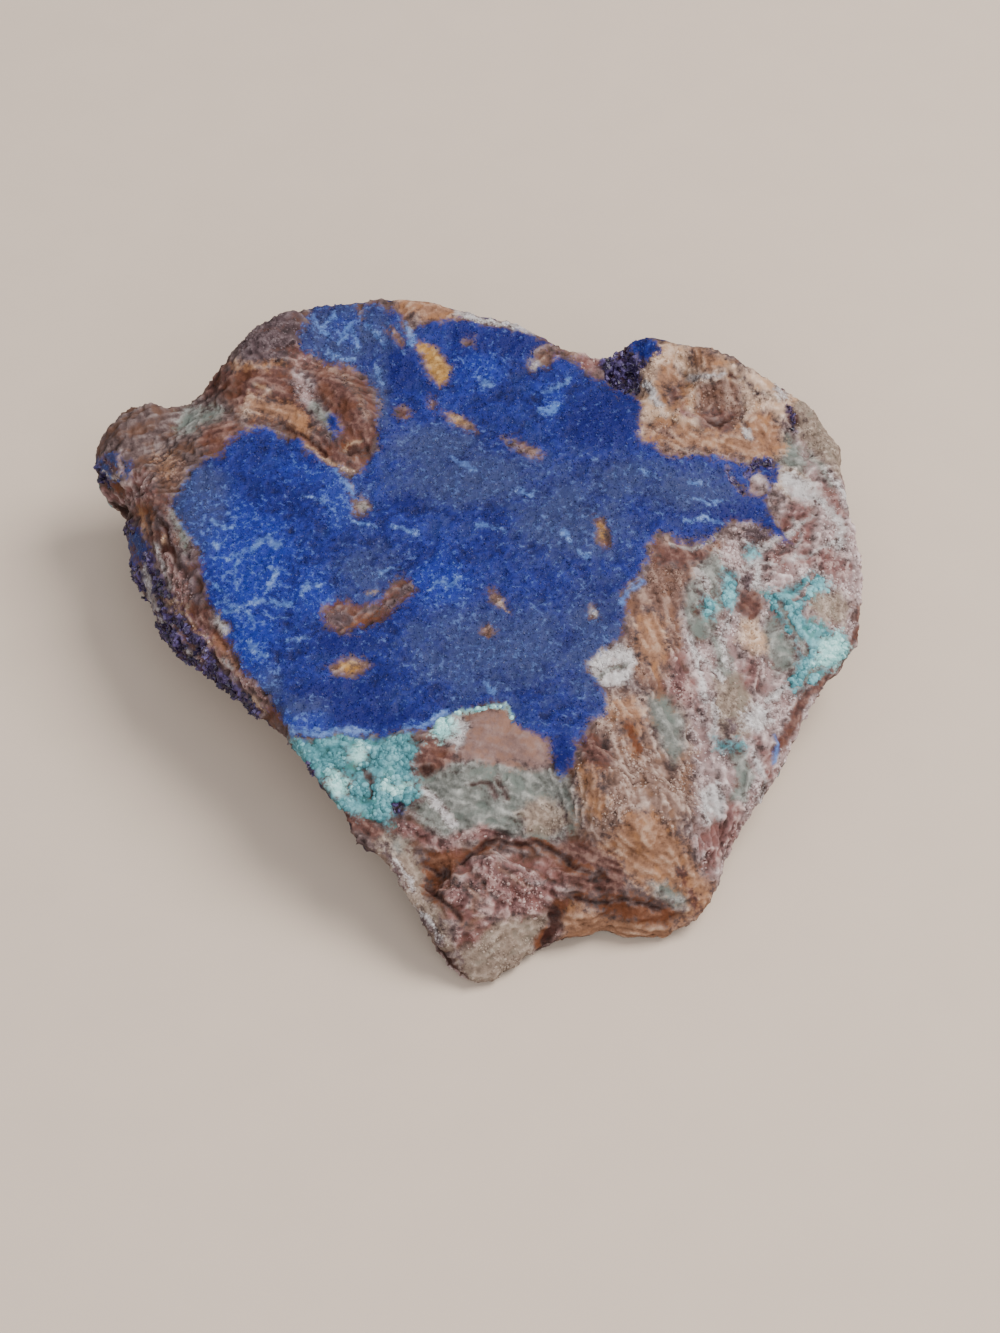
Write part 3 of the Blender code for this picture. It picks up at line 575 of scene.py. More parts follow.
    (Skin.GREEN_GREY, 12, (454, 768), (480, 768), (508, 770)),
    (Skin.DARK, (423, 766), (431, 764), (434, 771), (427, 776), (421, 772)),
    (Skin.DARK, 3, (472, 785), (488, 783), (494, 795)),
    (Skin.CHALK, (586, 660), (600, 651), (618, 645), (633, 650), (637, 666), (628, 680), (615, 690),
     (595, 681)),
    (Skin.GREEN_GREY, 7, (600, 678), (612, 668), (626, 664)),
    (Skin.CHALK, 4, (668, 543), (684, 548), (702, 546), (718, 536)),
    (Skin.MALACHITE, (294, 734), (308, 740), (320, 737), (340, 734), (365, 740), (390, 736), (410, 734),
     (418, 746), (411, 762), (416, 784), (419, 800), (406, 806), (394, 812), (389, 828), (380, 823),
     (370, 816), (350, 813), (338, 806), (322, 802), (308, 786), (300, 764), (290, 750)),
    (Skin.MINT, (326, 774), (338, 770), (352, 778), (350, 794), (336, 796), (326, 786)),
    (Skin.MINT, (350, 746), (362, 744), (368, 756), (358, 766), (348, 758)),
    (Skin.MINT, 9, (384, 782), (396, 790), (408, 784)),
    (Skin.DARK, 3, (364, 770), (370, 782), (372, 796)),
    (Skin.INDIGO, 5, (308, 764), (313, 776), (318, 790)),
    (Skin.INDIGO, (394, 802), (404, 802), (402, 812), (395, 814)),
    # malachite on the shoulder
    (Skin.MALACHITE, (764, 592), (780, 594), (798, 583), (812, 574), (823, 577), (830, 590), (815, 592),
     (806, 600), (803, 614), (812, 622), (828, 630), (844, 636), (846, 652), (830, 668), (812, 682),
     (798, 692), (788, 686), (796, 670), (800, 650), (788, 632), (776, 612)),
    (Skin.GREEN_GREY, 8, (782, 606), (794, 628), (806, 652)),
    (Skin.GRANULAR, 5, (812, 576), (806, 592), (796, 600)),
    (Skin.GREEN_GREY, 6, (826, 664), (812, 672), (802, 686)),
    (Skin.MALACHITE, (724, 568), (736, 572), (737, 590), (733, 613), (724, 606), (720, 586)),
    (Skin.MALACHITE, (702, 596), (714, 600), (716, 618), (704, 616)),
    (Skin.MALACHITE, (717, 740), (736, 741), (744, 748), (730, 752), (719, 749)),
    (Skin.MALACHITE, (744, 548), (756, 546), (760, 556), (748, 560)),
    (Skin.MINT, (816, 640), (840, 630), (850, 648), (834, 668), (816, 668)),
)


@dataclass(frozen=True)
class Cloud:
    """A soft-edged place in the camera's frame where one tone of the azurite is strong.

    Attributes:
        tone: which tone.
        centre: of the place, in pixels.
        spread: half width and half height, in pixels.
        strength: of the tone at the centre, from 0 to 1.
    """

    tone: Tone
    centre: Pixel
    spread: Pixel
    strength: float

    def weight(self, places: np.ndarray) -> np.ndarray:
        """The tone's strength at places given in pixels, one a row."""
        offset = (places - np.array(self.centre)) / np.array(self.spread)
        return self.strength * np.exp(-np.sum(offset**2, axis=1))


def clouds(tone: Tone, *rows: tuple[float, ...]) -> tuple[Cloud, ...]:
    """Clouds of one tone.

    Args:
        tone: which tone.
        rows: for each cloud its centre, its half width and half height in pixels, and its strength.

    Returns:
        The clouds, in order.
    """
    return tuple(Cloud(tone, row[:2], row[2:4], row[4]) for row in rows)


CLOUDS = (
    *clouds(
        Tone.FROST,
        (470, 480, 80, 36, 1.0), (570, 520, 80, 60, 0.85), (680, 490, 60, 30, 0.85),
        (500, 650, 120, 60, 0.85), (440, 446, 60, 22, 1.0), (370, 570, 50, 40, 0.7),
        (290, 715, 46, 22, 0.9), (196, 512, 30, 44, 1.7), (112, 468, 18, 14, 1.6), (136, 544, 12, 16, 0.9),
        (590, 640, 50, 80, 0.8), (620, 480, 60, 30, 0.8), (266, 690, 24, 40, 0.9), (345, 332, 50, 34, 1.3),
        (378, 395, 14, 34, 1.2), (348, 500, 24, 26, 1.0),
    ),
    *clouds(
        Tone.BRIGHT,
        (250, 560, 56, 60, 1.0), (340, 330, 40, 26, 0.6), (310, 590, 24, 30, 0.9), (250, 645, 36, 44, 1.0),
        (440, 580, 36, 26, 0.9), (340, 500, 24, 30, 0.8), (480, 370, 36, 26, 0.7), (550, 398, 20, 26, 0.8),
        (430, 730, 24, 10, 0.9), (300, 725, 36, 14, 0.8), (300, 470, 40, 22, 0.5),
    ),
    # deep ultramarine, and painted shade in the troughs of the face at the lower left
    *clouds(
        Tone.DEEP,
        (510, 345, 50, 18, 1.1), (600, 420, 44, 34, 1.1), (462, 352, 16, 40, 0.9), (400, 370, 22, 30, 0.9),
        (350, 645, 40, 10, 1.3), (340, 694, 50, 13, 1.3), (370, 716, 50, 10, 1.3), (270, 500, 60, 26, 0.6),
        (562, 752, 14, 20, 1.0), (720, 512, 46, 16, 0.9), (760, 470, 16, 12, 1.0), (600, 605, 36, 36, 0.7),
        (520, 680, 40, 14, 0.7), (420, 560, 60, 12, 0.6), (410, 500, 26, 12, 0.9), (318, 462, 14, 10, 1.0),
    ),
)


@dataclass(frozen=True)
class Flow:
    """A place in the camera's frame where the fibres of the matrix run one way.

    Attributes:
        centre: of the place, in pixels.
        along: the fibres' direction, in pixels.
        reach: how far it holds, in pixels.
    """

    centre: Pixel
    along: Pixel
    reach: float = 50.0


FLOWS = (
    Flow((655, 570), (0.1, 1.0)),
    Flow((650, 640), (0.25, 1.0)),
    Flow((625, 720), (0.2, 1.0)),
    Flow((598, 790), (-0.15, 1.0)),
    Flow((660, 790), (0.3, 1.0)),
    Flow((640, 850), (1.0, 0.5), 30.0),
    Flow((690, 890), (0.5, 1.0), 30.0),
    Flow((585, 868), (1.0, 0.25), 30.0),
    Flow((630, 918), (1.0, 0.1), 30.0),
    Flow((510, 880), (1.0, 0.6), 40.0),
    Flow((440, 868), (0.7, -0.7), 20.0),
    Flow((495, 955), (1.0, -0.8), 30.0),
    Flow((400, 870), (0.5, 1.0), 40.0),
    Flow((430, 838), (1.0, 0.5), 20.0),
    Flow((500, 800), (1.0, 0.4), 50.0),
    Flow((190, 600), (0.5, 1.0), 60.0),
    Flow((140, 540), (0.4, 1.0), 40.0),
    Flow((300, 390), (1.0, 0.6), 40.0),
    Flow((345, 430), (0.3, 1.0), 25.0),
    Flow((250, 340), (1.0, -0.5), 40.0),
    Flow((165, 440), (1.0, -0.4), 50.0),
    Flow((800, 500), (1.0, -0.3), 50.0),
    Flow((830, 580), (-0.3, 1.0), 50.0),
    Flow((750, 560), (1.0, -0.4), 40.0),
    Flow((705, 620), (0.1, 1.0), 50.0),
    Flow((770, 680), (-0.4, 1.0), 60.0),
    Flow((720, 800), (-0.25, 1.0), 60.0),
    Flow((720, 390), (0.3, 1.0), 40.0),
    Flow((720, 445), (1.0, 0.3), 20.0),
)


# ---------------------------------------------------------------------------------------------------
# Camera
# ---------------------------------------------------------------------------------------------------


@dataclass(frozen=True)
class Viewpoint:
    """The camera, and where points of the stone fall in its frame.

    Attributes:
        frame: width and height of the frame, in pixels.
        elevation: of the camera over the table, in degrees.
        focal_px: focal length in pixels of that frame.
        place: of the camera, in millimetres.
        film: long side of the camera's film, in millimetres.
        distance: from the camera to the stone, in millimetres.
    """

    frame: tuple[int, int] = (1000, 1333)
    elevation: float = 48.0
    focal_px: float = 3508.8
    place: tuple[float, float, float] = (2.35, -215.97, 244.5)
    film: float = 36.0
    distance: float = 320.0

    def axes(self) -> tuple[np.ndarray, np.ndarray, np.ndarray]:
        """The camera's right, up and forward directions."""
        tilt = math.radians(self.elevation)
        up = np.array([0, math.sin(tilt), math.cos(tilt)])
        return np.array([1.0, 0, 0]), up, np.array([0, math.cos(tilt), -math.sin(tilt)])

    def pixels(self, points: np.ndarray) -> np.ndarray:
        """Where points fall in the frame.

        Args:
            points: in millimetres, one a row.

        Returns:
            Their places in pixels, one a row.
        """
        right, up, forward = self.axes()
        arms = points - np.array(self.place)
        scale = self.focal_px / (arms @ forward)
        across = self.frame[0] / 2 + scale * (arms @ right)
        return np.column_stack([across, self.frame[1] / 2 - scale * (arms @ up)])

    def facing(self, points: np.ndarray, normals: np.ndarray) -> np.ndarray:
        """Cosine of the angle between each point's normal and its way to the camera."""
        arms = np.array(self.place) - points
        return np.sum(arms * normals, axis=1) / np.linalg.norm(arms, axis=1)

    def fibres(self, points: np.ndarray, normals: np.ndarray) -> np.ndarray:
        """Which way the matrix's fibres run at points of the surface.

        Args:
            points: in millimetres, one a row.
            normals: of the surface there.

        Returns:
            A unit direction in the surface for each point.
        """
        faint = 0.02
        right, up, _ = self.axes()
        places = self.pixels(points)
        along = np.tile(faint * (right + up), (len(points), 1))
        for flow in FLOWS:
            offset = (places - np.array(flow.centre)) / flow.reach
            weight = np.exp(-np.sum(offset**2, axis=1))
            along += weight[:, None] * (flow.along[0] * right - flow.along[1] * up)
        along -= np.sum(along * normals, axis=1)[:, None] * normals
        return along / np.maximum(np.linalg.norm(along, axis=1), 1e-6)[:, None]

    def pixel_size(self) -> float:
        """Millimetres on the stone that a pixel covers."""
        return self.distance / self.focal_px

    def build(self) -> bpy.types.Object:
        """Make the camera and look through it.

        Returns:
            The camera object.
        """
        camera = bpy.data.objects.new("camera", bpy.data.cameras.new("camera"))
        camera.data.lens = self.focal_px * self.film / self.frame[1]
        camera.data.sensor_width = self.film
        camera.data.clip_start = 0.01
        camera.location = Vector(self.place) * MM
        camera.rotation_euler = (math.radians(90 - self.elevation), 0, 0)
        bpy.context.scene.collection.objects.link(camera)
        bpy.context.scene.camera = camera
        return camera


VIEW = Viewpoint()


# ---------------------------------------------------------------------------------------------------
# Noise and mesh helpers
# ---------------------------------------------------------------------------------------------------


def ripple(points: np.ndarray, size: float, level: float = 0.0) -> np.ndarray:
    """Smooth noise at points.

    Args:
        points: in millimetres, one a row.
        size: of its bumps, in millimetres, or one size for each axis.
        level: shift that gives another pattern.

    Returns:
        Noise from -1 to 1 for each point.
    """
    scaled = points / size + level * np.array([17.3, -9.1, 5.7])
    return np.fromiter((noise.noise(place) for place in scaled.tolist()), float, len(scaled))


def knobs(points: np.ndarray, size: float) -> np.ndarray:
    """Rounded knobs packed side by side, from 0 between them to 1 on their tops.

    Args:
        points: in millimetres, one a row.
        size: distance from knob to knob, in millimetres.

    Returns:
        Height of the knobs at each point.
    """
    foot = 0.75
    scaled = points / size
    near = np.fromiter((noise.voronoi(place)[0][0] for place in scaled.tolist()), float, len(scaled))
    return np.sqrt(np.clip(1 - (near / foot) ** 2, 0, 1))


def crags(points: np.ndarray, size: float, level: float) -> np.ndarray:
    """Sharp ridges with hollows between them, from -1 to 1.

    Args:
        points: in millimetres, one a row.
        size: of the ridges, in millimetres.
        level: shift that gives another pattern.

    Returns:
        Height of the crags at each point.
    """
    steepness, finer = 3.2, 0.45
    broad = 1 - steepness * np.abs(ripple(points, size, level))
    fine = 1 - steepness * np.abs(ripple(points, finer * size, level + 1))
    return 0.65 * broad + 0.5 * fine - 0.4


def streaks(points: np.ndarray, along: np.ndarray, size: float, level: float) -> np.ndarray:
    """Noise drawn out along directions on the surface, from about -1 to 1.

    Args:
        points: in millimetres, one a row.
        along: unit direction at each point.
        size: thickness of the streaks, in millimetres.
        level: shift that gives another pattern.

    Returns:
        The noise at each point.
    """
    spacing, contrast = 0.7, 2.6
    steps = np.arange(-4, 5)
    parts = [ripple(points + step * spacing * size * along, size, level) for step in steps]
    return np.clip(contrast * np.mean(parts, axis=0), -1, 1)


def smoothstep(low: float, high: float, value: np.ndarray) -> np.ndarray:
    """Smooth rise from 0 at low to 1 at high."""
    share = np.clip((value - low) / (high - low), 0, 1)
    return share * share * (3 - 2 * share)


def mesh_from_triangles(name: str, points: np.ndarray, triangles: np.ndarray) -> bpy.types.Mesh:
    """A mesh of flat triangles.

    Args:
        name: of the mesh.
        points: in metres, one a row.
        triangles: three point numbers a row.

    Returns:
        The mesh.
    """
    mesh = bpy.data.meshes.new(name)
    mesh.vertices.add(len(points))
    mesh.vertices.foreach_set("co", points.astype(np.float32).ravel())
    mesh.loops.add(triangles.size)
    mesh.loops.foreach_set("vertex_index", triangles.astype(np.int32).ravel())
    mesh.polygons.add(len(triangles))
    mesh.polygons.foreach_set("loop_start", np.arange(0, triangles.size, 3, dtype=np.int32))
    mesh.update(calc_edges=True)
    mesh.validate()
    return mesh


def store(mesh: bpy.types.Mesh, name: str, values: np.ndarray) -> None:
    """Keep a number or a vector for each point of a mesh."""
    kind, key = ("FLOAT", "value") if values.ndim == 1 else ("FLOAT_VECTOR", "vector")
    attribute = mesh.attributes.new(name, kind, "POINT")
    attribute.data.foreach_set(key, values.astype(np.float32).ravel())


def stored(mesh: bpy.types.Mesh, name: str) -> np.ndarray:
    """The vectors that a mesh keeps under a name, one a row."""
    values = np.empty(len(mesh.vertices) * 3, np.float32)
    mesh.attributes[name].data.foreach_get("vector", values)
    return values.reshape(-1, 3)


def set_chart(mesh: bpy.types.Mesh, places: np.ndarray) -> None:
    """Give a mesh its map.

    Args:
        mesh: the mesh.
        places: on the map, from 0 to 1, one row for each corner of its faces.
    """
    chart = mesh.uv_layers.new(name="OFBake")
    chart.data.foreach_set("uv", places.astype(np.float32).ravel())


def corner_rows(mesh: bpy.types.Mesh) -> np.ndarray:
    """The point at each corner of a mesh's faces."""
    rows = np.empty(len(mesh.loops), np.int32)
    mesh.loops.foreach_get("vertex_index", rows)
    return rows


def chart_from_camera(mesh: bpy.types.Mesh) -> None:
    """Map what the camera sees just as it sees it."""
    places = (VIEW.pixels(Surface.of(mesh).points) - CHART_LOW) / (CHART_HIGH - CHART_LOW)
    places[:, 1] = 1 - places[:, 1]
    set_chart(mesh, places[corner_rows(mesh)])


def chart_from_behind(mesh: bpy.types.Mesh) -> None:
    """Map the far side: the underside flat, and above it on the map the walls unrolled."""
    span, wall_low, under_edge, corner = 100.0, 0.72, -0.55, np.array([-50.0, -35.0])
    points, form = Surface.of(mesh).points, stored(mesh, "form")
    under = (points[:, :2] - corner) / span
    turn = np.arctan2(points[:, 0], -points[:, 1]) / (2 * math.pi) + 0.5
    walls = np.column_stack([turn, wall_low + points[:, 2] / span])
    rows = corner_rows(mesh)
    sizes = np.empty(len(mesh.polygons), np.int32)
    mesh.polygons.foreach_get("loop_total", sizes)
    first = np.cumsum(sizes) - sizes
    slope = np.add.reduceat(form[rows, 2], first) / sizes
    around = walls[rows]
    ahead = np.repeat(around[first, 0], sizes)
    around[:, 0] += np.round(ahead - around[:, 0])
    around[:, 0] = np.clip(around[:, 0], 0, 1)
    below = np.repeat(slope < under_edge, sizes)
    set_chart(mesh, np.where(below[:, None], under[rows], around))


def add_piece(name: str, mesh: bpy.types.Mesh) -> bpy.types.Object:
    """Put a mesh into the scene as a piece of the stone.

    Args:
        name: of the piece.
        mesh: its mesh, in metres.

    Returns:
        The piece, riding on the stone.
    """
    piece = bpy.data.objects.new(name, mesh)
    bpy.context.scene.collection.objects.link(piece)
    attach(piece, "root")
    return piece


# ---------------------------------------------------------------------------------------------------
# Shader building
# ---------------------------------------------------------------------------------------------------


class Value:
    """A shader socket that can be used in Python expressions."""

    def __init__(self, graph: "Graph", socket: bpy.types.NodeSocket) -> None:
        """Wrap a socket of a graph."""
        self.graph = graph
        self.socket = socket

    def math(self, operation: str, *others: "Value | float", swap: bool = False) -> "Value":
        """Add a Math node.

        Args:
            operation: the node's operation.
            others: its further inputs.
            swap: whether this value comes second.

        Returns:
            The node's result.
        """
        inputs = (*others, self) if swap else (self, *others)
        return self.graph.add("ShaderNodeMath", {"operation": operation}, dict(enumerate(inputs)))

    def __add__(self, other: "Value | float") -> "Value":
        """Sum."""
        return self.math("ADD", other)

    __radd__ = __add__

    def __mul__(self, other: "Value | float") -> "Value":
        """Product."""
        return self.math("MULTIPLY", other)

    __rmul__ = __mul__

    def __sub__(self, other: "Value | float") -> "Value":
        """Difference."""
        return self.math("SUBTRACT", other)

    def __rsub__(self, other: "Value | float") -> "Value":
        """Difference with this value second."""
        return self.math("SUBTRACT", other, swap=True)

    def __abs__(self) -> "Value":
        """Size without sign."""
        return self.math("ABSOLUTE")

    def rise(self, low: float, high: float) -> "Value":
        """Smooth rise from 0 at low to 1 at high."""
        settings = {"interpolation_type": "SMOOTHSTEP"}
        inputs = {"Value": self, "From Min": low, "From Max": high}
        return self.graph.add("ShaderNodeMapRange", settings, inputs)


class Graph:
    """A material's nodes."""

    def __init__(self, material: bpy.types.Material) -> None:
        """Start on a material's node tree."""
        self.tree = material.node_tree
        self.shader = self.tree.nodes["Principled BSDF"]

    def add(self, kind: str, settings: dict, inputs: dict, output: int | str = 0) -> Value:
        """Add a node.

        Args:
            kind: the node's type.
            settings: its properties; "stops" holds a ramp's positions and colours.
            inputs: a value or a link for each of its sockets, by name or number.
            output: the socket that is handed back.

        Returns:
            That socket.
        """
        node = self.tree.nodes.new(kind)
        for name, value in settings.items():
            if name == "stops":
                self.set_stops(node.color_ramp, value)
            else:
                setattr(node, name, value)
        for name, value in inputs.items():
            self.feed(node.inputs[name], value)
        return Value(self, node.outputs[output])

    def feed(self, socket: bpy.types.NodeSocket, value: "Value | float | Colour") -> None:
        """Link a socket or set it.

        Args:
            socket: the input.
            value: what it gets.
        """
        if isinstance(value, Value):
            self.tree.links.new(value.socket, socket)
        elif isinstance(value, tuple) and socket.type == "RGBA":
            socket.default_value = (*value, 1.0)
        else:
            socket.default_value = value

    @staticmethod
    def set_stops(ramp: bpy.types.ColorRamp, stops: tuple) -> None:
        """Give a colour ramp its stops.

        Args:
            ramp: the ramp.
            stops: pairs of a position and a colour.
        """
        while len(ramp.elements) < len(stops):
            ramp.elements.new(0.5)
        for element, (position, colour) in zip(ramp.elements, stops):
            element.position = position
            element.color = (*colour, 1.0)

    def attribute(self, name: str) -> Value:
        """A number that the mesh keeps for each point."""
        return self.add("ShaderNodeAttribute", {"attribute_name": name}, {}, "Fac")

    def blend(self, share: Value | float, first: Value | Colour, second: Value | Colour) -> Value:
        """Mix two colours.

        Args:
            share: of the second colour.
            first: colour at share 0.
            second: colour at share 1.

        Returns:
            The mixed colour.
        """
        return self.add("ShaderNodeMix", {"data_type": "RGBA"}, {0: share, 6: first, 7: second}, 2)


@dataclass(frozen=True)
class Coat:
    """What a finish puts on a place: its colour, roughness and height in millimetres."""

    colour: Value
    roughness: Value
    height: Value

    def over(self, other: "Coat", graph: Graph, share: Value) -> "Coat":
        """Lay this coat over another.

        Args:
            other: the coat below.
            graph: the material's nodes.
            share: how much of this coat there is.

        Returns:
            Both together.
        """
        colour = graph.blend(share, other.colour, self.colour)
        roughness = other.roughness + share * (self.roughness - other.roughness)
        return Coat(colour, roughness, other.height + share * (self.height - other.height))


class Fields:
    """Noises that every finish of a material shares."""

    def __init__(self, graph: Graph) -> None:
        """Add the shared noise nodes."""
        self.graph = graph
        local = graph.add("ShaderNodeTexCoord", {}, {}, "Object")
        self.place = graph.add("ShaderNodeVectorMath", {"operation": "SCALE"}, {0: local, "Scale": 1000.0})
        self.dust = self.noise(0.2, 2.0, 0.7)
        self.grit = self.noise(0.5, 3.0, 0.65)
        self.mottle = self.noise(1.9, 3.0, 0.6)
        self.cloud = self.noise(6.5, 3.0, 0.5)
        self.crumbs = self.cells(0.38)
        # height among neighbours; the finishes paint shade into its hollows, and on strewn bodies it also
        # holds their painted top light
        self.relief = graph.attribute("relief")
        self.streak = graph.attribute("streak")
        self.vein = graph.attribute("vein")

    def noise(self, size: float, detail: float, roughness: float) -> Value:
        """Noise with bumps of a size.

        Args:
            size: of the bumps, in millimetres.
            detail: octaves.
            roughness: weight of the finer octaves.

        Returns:
            Noise from 0 to 1.
        """
        inputs = {"Vector": self.place, "Scale": 1 / size, "Detail": detail, "Roughness": roughness}
        return self.graph.add("ShaderNodeTexNoise", {}, inputs, "Fac")

    def cells(self, size: float) -> Value:
        """A random number for each grain of a size in millimetres."""
        cell = self.graph.add("ShaderNodeTexVoronoi", {}, {"Vector": self.place, "Scale": 1 / size}, "Color")
        return self.graph.add("ShaderNodeSeparateColor", {}, {"Color": cell})


# ---------------------------------------------------------------------------------------------------
# Finishes
# ---------------------------------------------------------------------------------------------------


@dataclass(frozen=True)
class Finish:
    """How one mineral looks.

    Attributes:
        tones: its dark, middle and light colours, linear.
        accent: colour of the blotches in it.
        blotches: how much they cover, from 0 to 1.
        roughness: least and most.
        grain: height of its fine grain, in millimetres.
        painted_hollow_shade: painted shade, how much darker its hollows are painted than its ridges.
        fibre: how much its tone follows the fibres.
        speckle: how much its tone changes from grain to grain.
        drift: how much its tone changes from one place to another.
        painted_pit_shade: painted shade in its small holes, how dark they are painted, from 0 to 1.
        fray: how ragged its border is.
        edge: how soft its border is, in millimetres.
        lift: how far it stands over the bare matrix, in millimetres.
        crag: height of its ridges, in millimetres.
        strand: height of its fibres, in millimetres.
        knob: height of its rounded knobs, in millimetres.
    """

    tones: tuple[Colour, Colour, Colour]
    accent: Colour
    blotches: float = 0.3
    roughness: tuple[float, float] = (0.5, 0.95)
    grain: float = 0.08
    painted_hollow_shade: float = 0.3
    fibre: float = 0.25
    speckle: float = 0.65
    drift: float = 0.8
    painted_pit_shade: float = 0.45
    fray: float = 1.0
    edge: float = 0.3
    lift: float = 0.0
    crag: float = 0.2
    strand: float = 0.12
    knob: float = 0.0

    def coat(self, graph: Graph, fields: Fields) -> Coat:
        """Build the finish's nodes.

        Args:
            graph: the material's nodes.
            fields: the shared noises.

        Returns:
            The finish as a coat.
        """
        fine = 0.9 * fields.grit + 0.5 * fields.dust + 0.2 * fields.crumbs - 0.8
        # painted shade: the hollows of the relief are painted darker and its ridges lighter
        shape = self.painted_hollow_shade * fields.relief + self.fibre * fields.streak
        broad = 0.6 * fields.mottle + 0.4 * fields.cloud - 0.5
        tone = 0.5 + shape + self.speckle * fine + self.drift * broad
        stops = ((0.08, self.tones[0]), (0.5, self.tones[1]), (0.95, self.tones[2]))
        colour = graph.add("ShaderNodeValToRGB", {"stops": stops}, {"Fac": tone})
        limit = 0.68 - 0.32 * self.blotches
        spread = 0.55 * fields.mottle + 0.25 * fields.grit + 0.1 + 0.14 * fields.vein - 0.1 * fields.relief
        colour = graph.blend(0.75 * spread.rise(limit - 0.08, limit + 0.08), colour, self.accent)
        # painted shade: small holes picked from the noise are pulled towards the dark tone
        pit_shade_mask = 0.65 * fields.grit + 0.35 * fields.mottle
        colour = graph.blend(self.painted_pit_shade - self.painted_pit_shade * pit_shade_mask.rise(0.33, 0.43), colour, self.tones[0])
        roughness = self.roughness[0] + (self.roughness[1] - self.roughness[0]) * fields.dust
        return Coat(colour, roughness, self.grain * (fields.grit + 0.7 * fields.dust))


@dataclass(frozen=True)
class AzuriteFinish(Finish):
    """The blue crust, whose tone shifts between frosted, bright and deep places.

    Attributes:
        frosted: greyed blue of finely crystalline places.
        bright: cobalt of the liveliest places.
        deep: ultramarine of the darkest places, also painted as shade in troughs of the face.
        pale: the light flecks and lines, partly paler crystals and partly painted glints.
    """

    frosted: Colour = (0.022, 0.029, 0.082)
    bright: Colour = (0.003, 0.014, 0.18)
    deep: Colour = (0.0008, 0.0022, 0.074)
    pale: Colour = (0.075, 0.125, 0.3)

    def coat(self, graph: Graph, fields: Fields) -> Coat:
        """Build the crust's nodes.

        Args:
            graph: the material's nodes.
            fields: the shared noises.

        Returns:
            The crust as a coat.
        """
        plain = Finish.coat(self, graph, fields)
        wander = 1.2 * fields.mottle + 0.9 * fields.grit + 0.7 * fields.cloud - 1.4
        frost, bright, deep = ((graph.attribute(tone.value) + wander).rise(0.15, 0.85) for tone in Tone)
        # deep ultramarine, partly painted shade where the deep clouds lie in troughs
        colour = graph.blend(0.9 * deep, plain.colour, self.deep)
        colour = graph.blend(0.76 * frost, colour, self.frosted)
        colour = graph.blend(0.65 * bright, colour, self.bright)
        # pale flecks and lines: partly paler crystals, partly painted glints
        fleck_and_glint = (0.3 * fields.dust + 0.7 * fields.grit + 0.04 * bright + 0.02 * frost).rise(0.55, 0.68)
        colour = graph.blend(fleck_and_glint * (0.12 + 0.33 * bright + 0.22 * frost), colour, self.pale)
        line = 1.0 - abs(fields.noise(1.9, 2.0, 0.5) - 0.5).rise(0.004, 0.03)
        broken = (fields.grit + 0.1 * bright + 0.05 * frost).rise(0.52, 0.66)
        colour = graph.blend(0.4 * line * broken, colour, self.pale)
        return Coat(colour, plain.roughness, plain.height)


MATRIX = Finish(
    tones=((0.02, 0.011, 0.01), (0.078, 0.049, 0.046), (0.21, 0.16, 0.15)),
    accent=(0.085, 0.036, 0.02),
    blotches=0.45,
    crag=0.28,
)

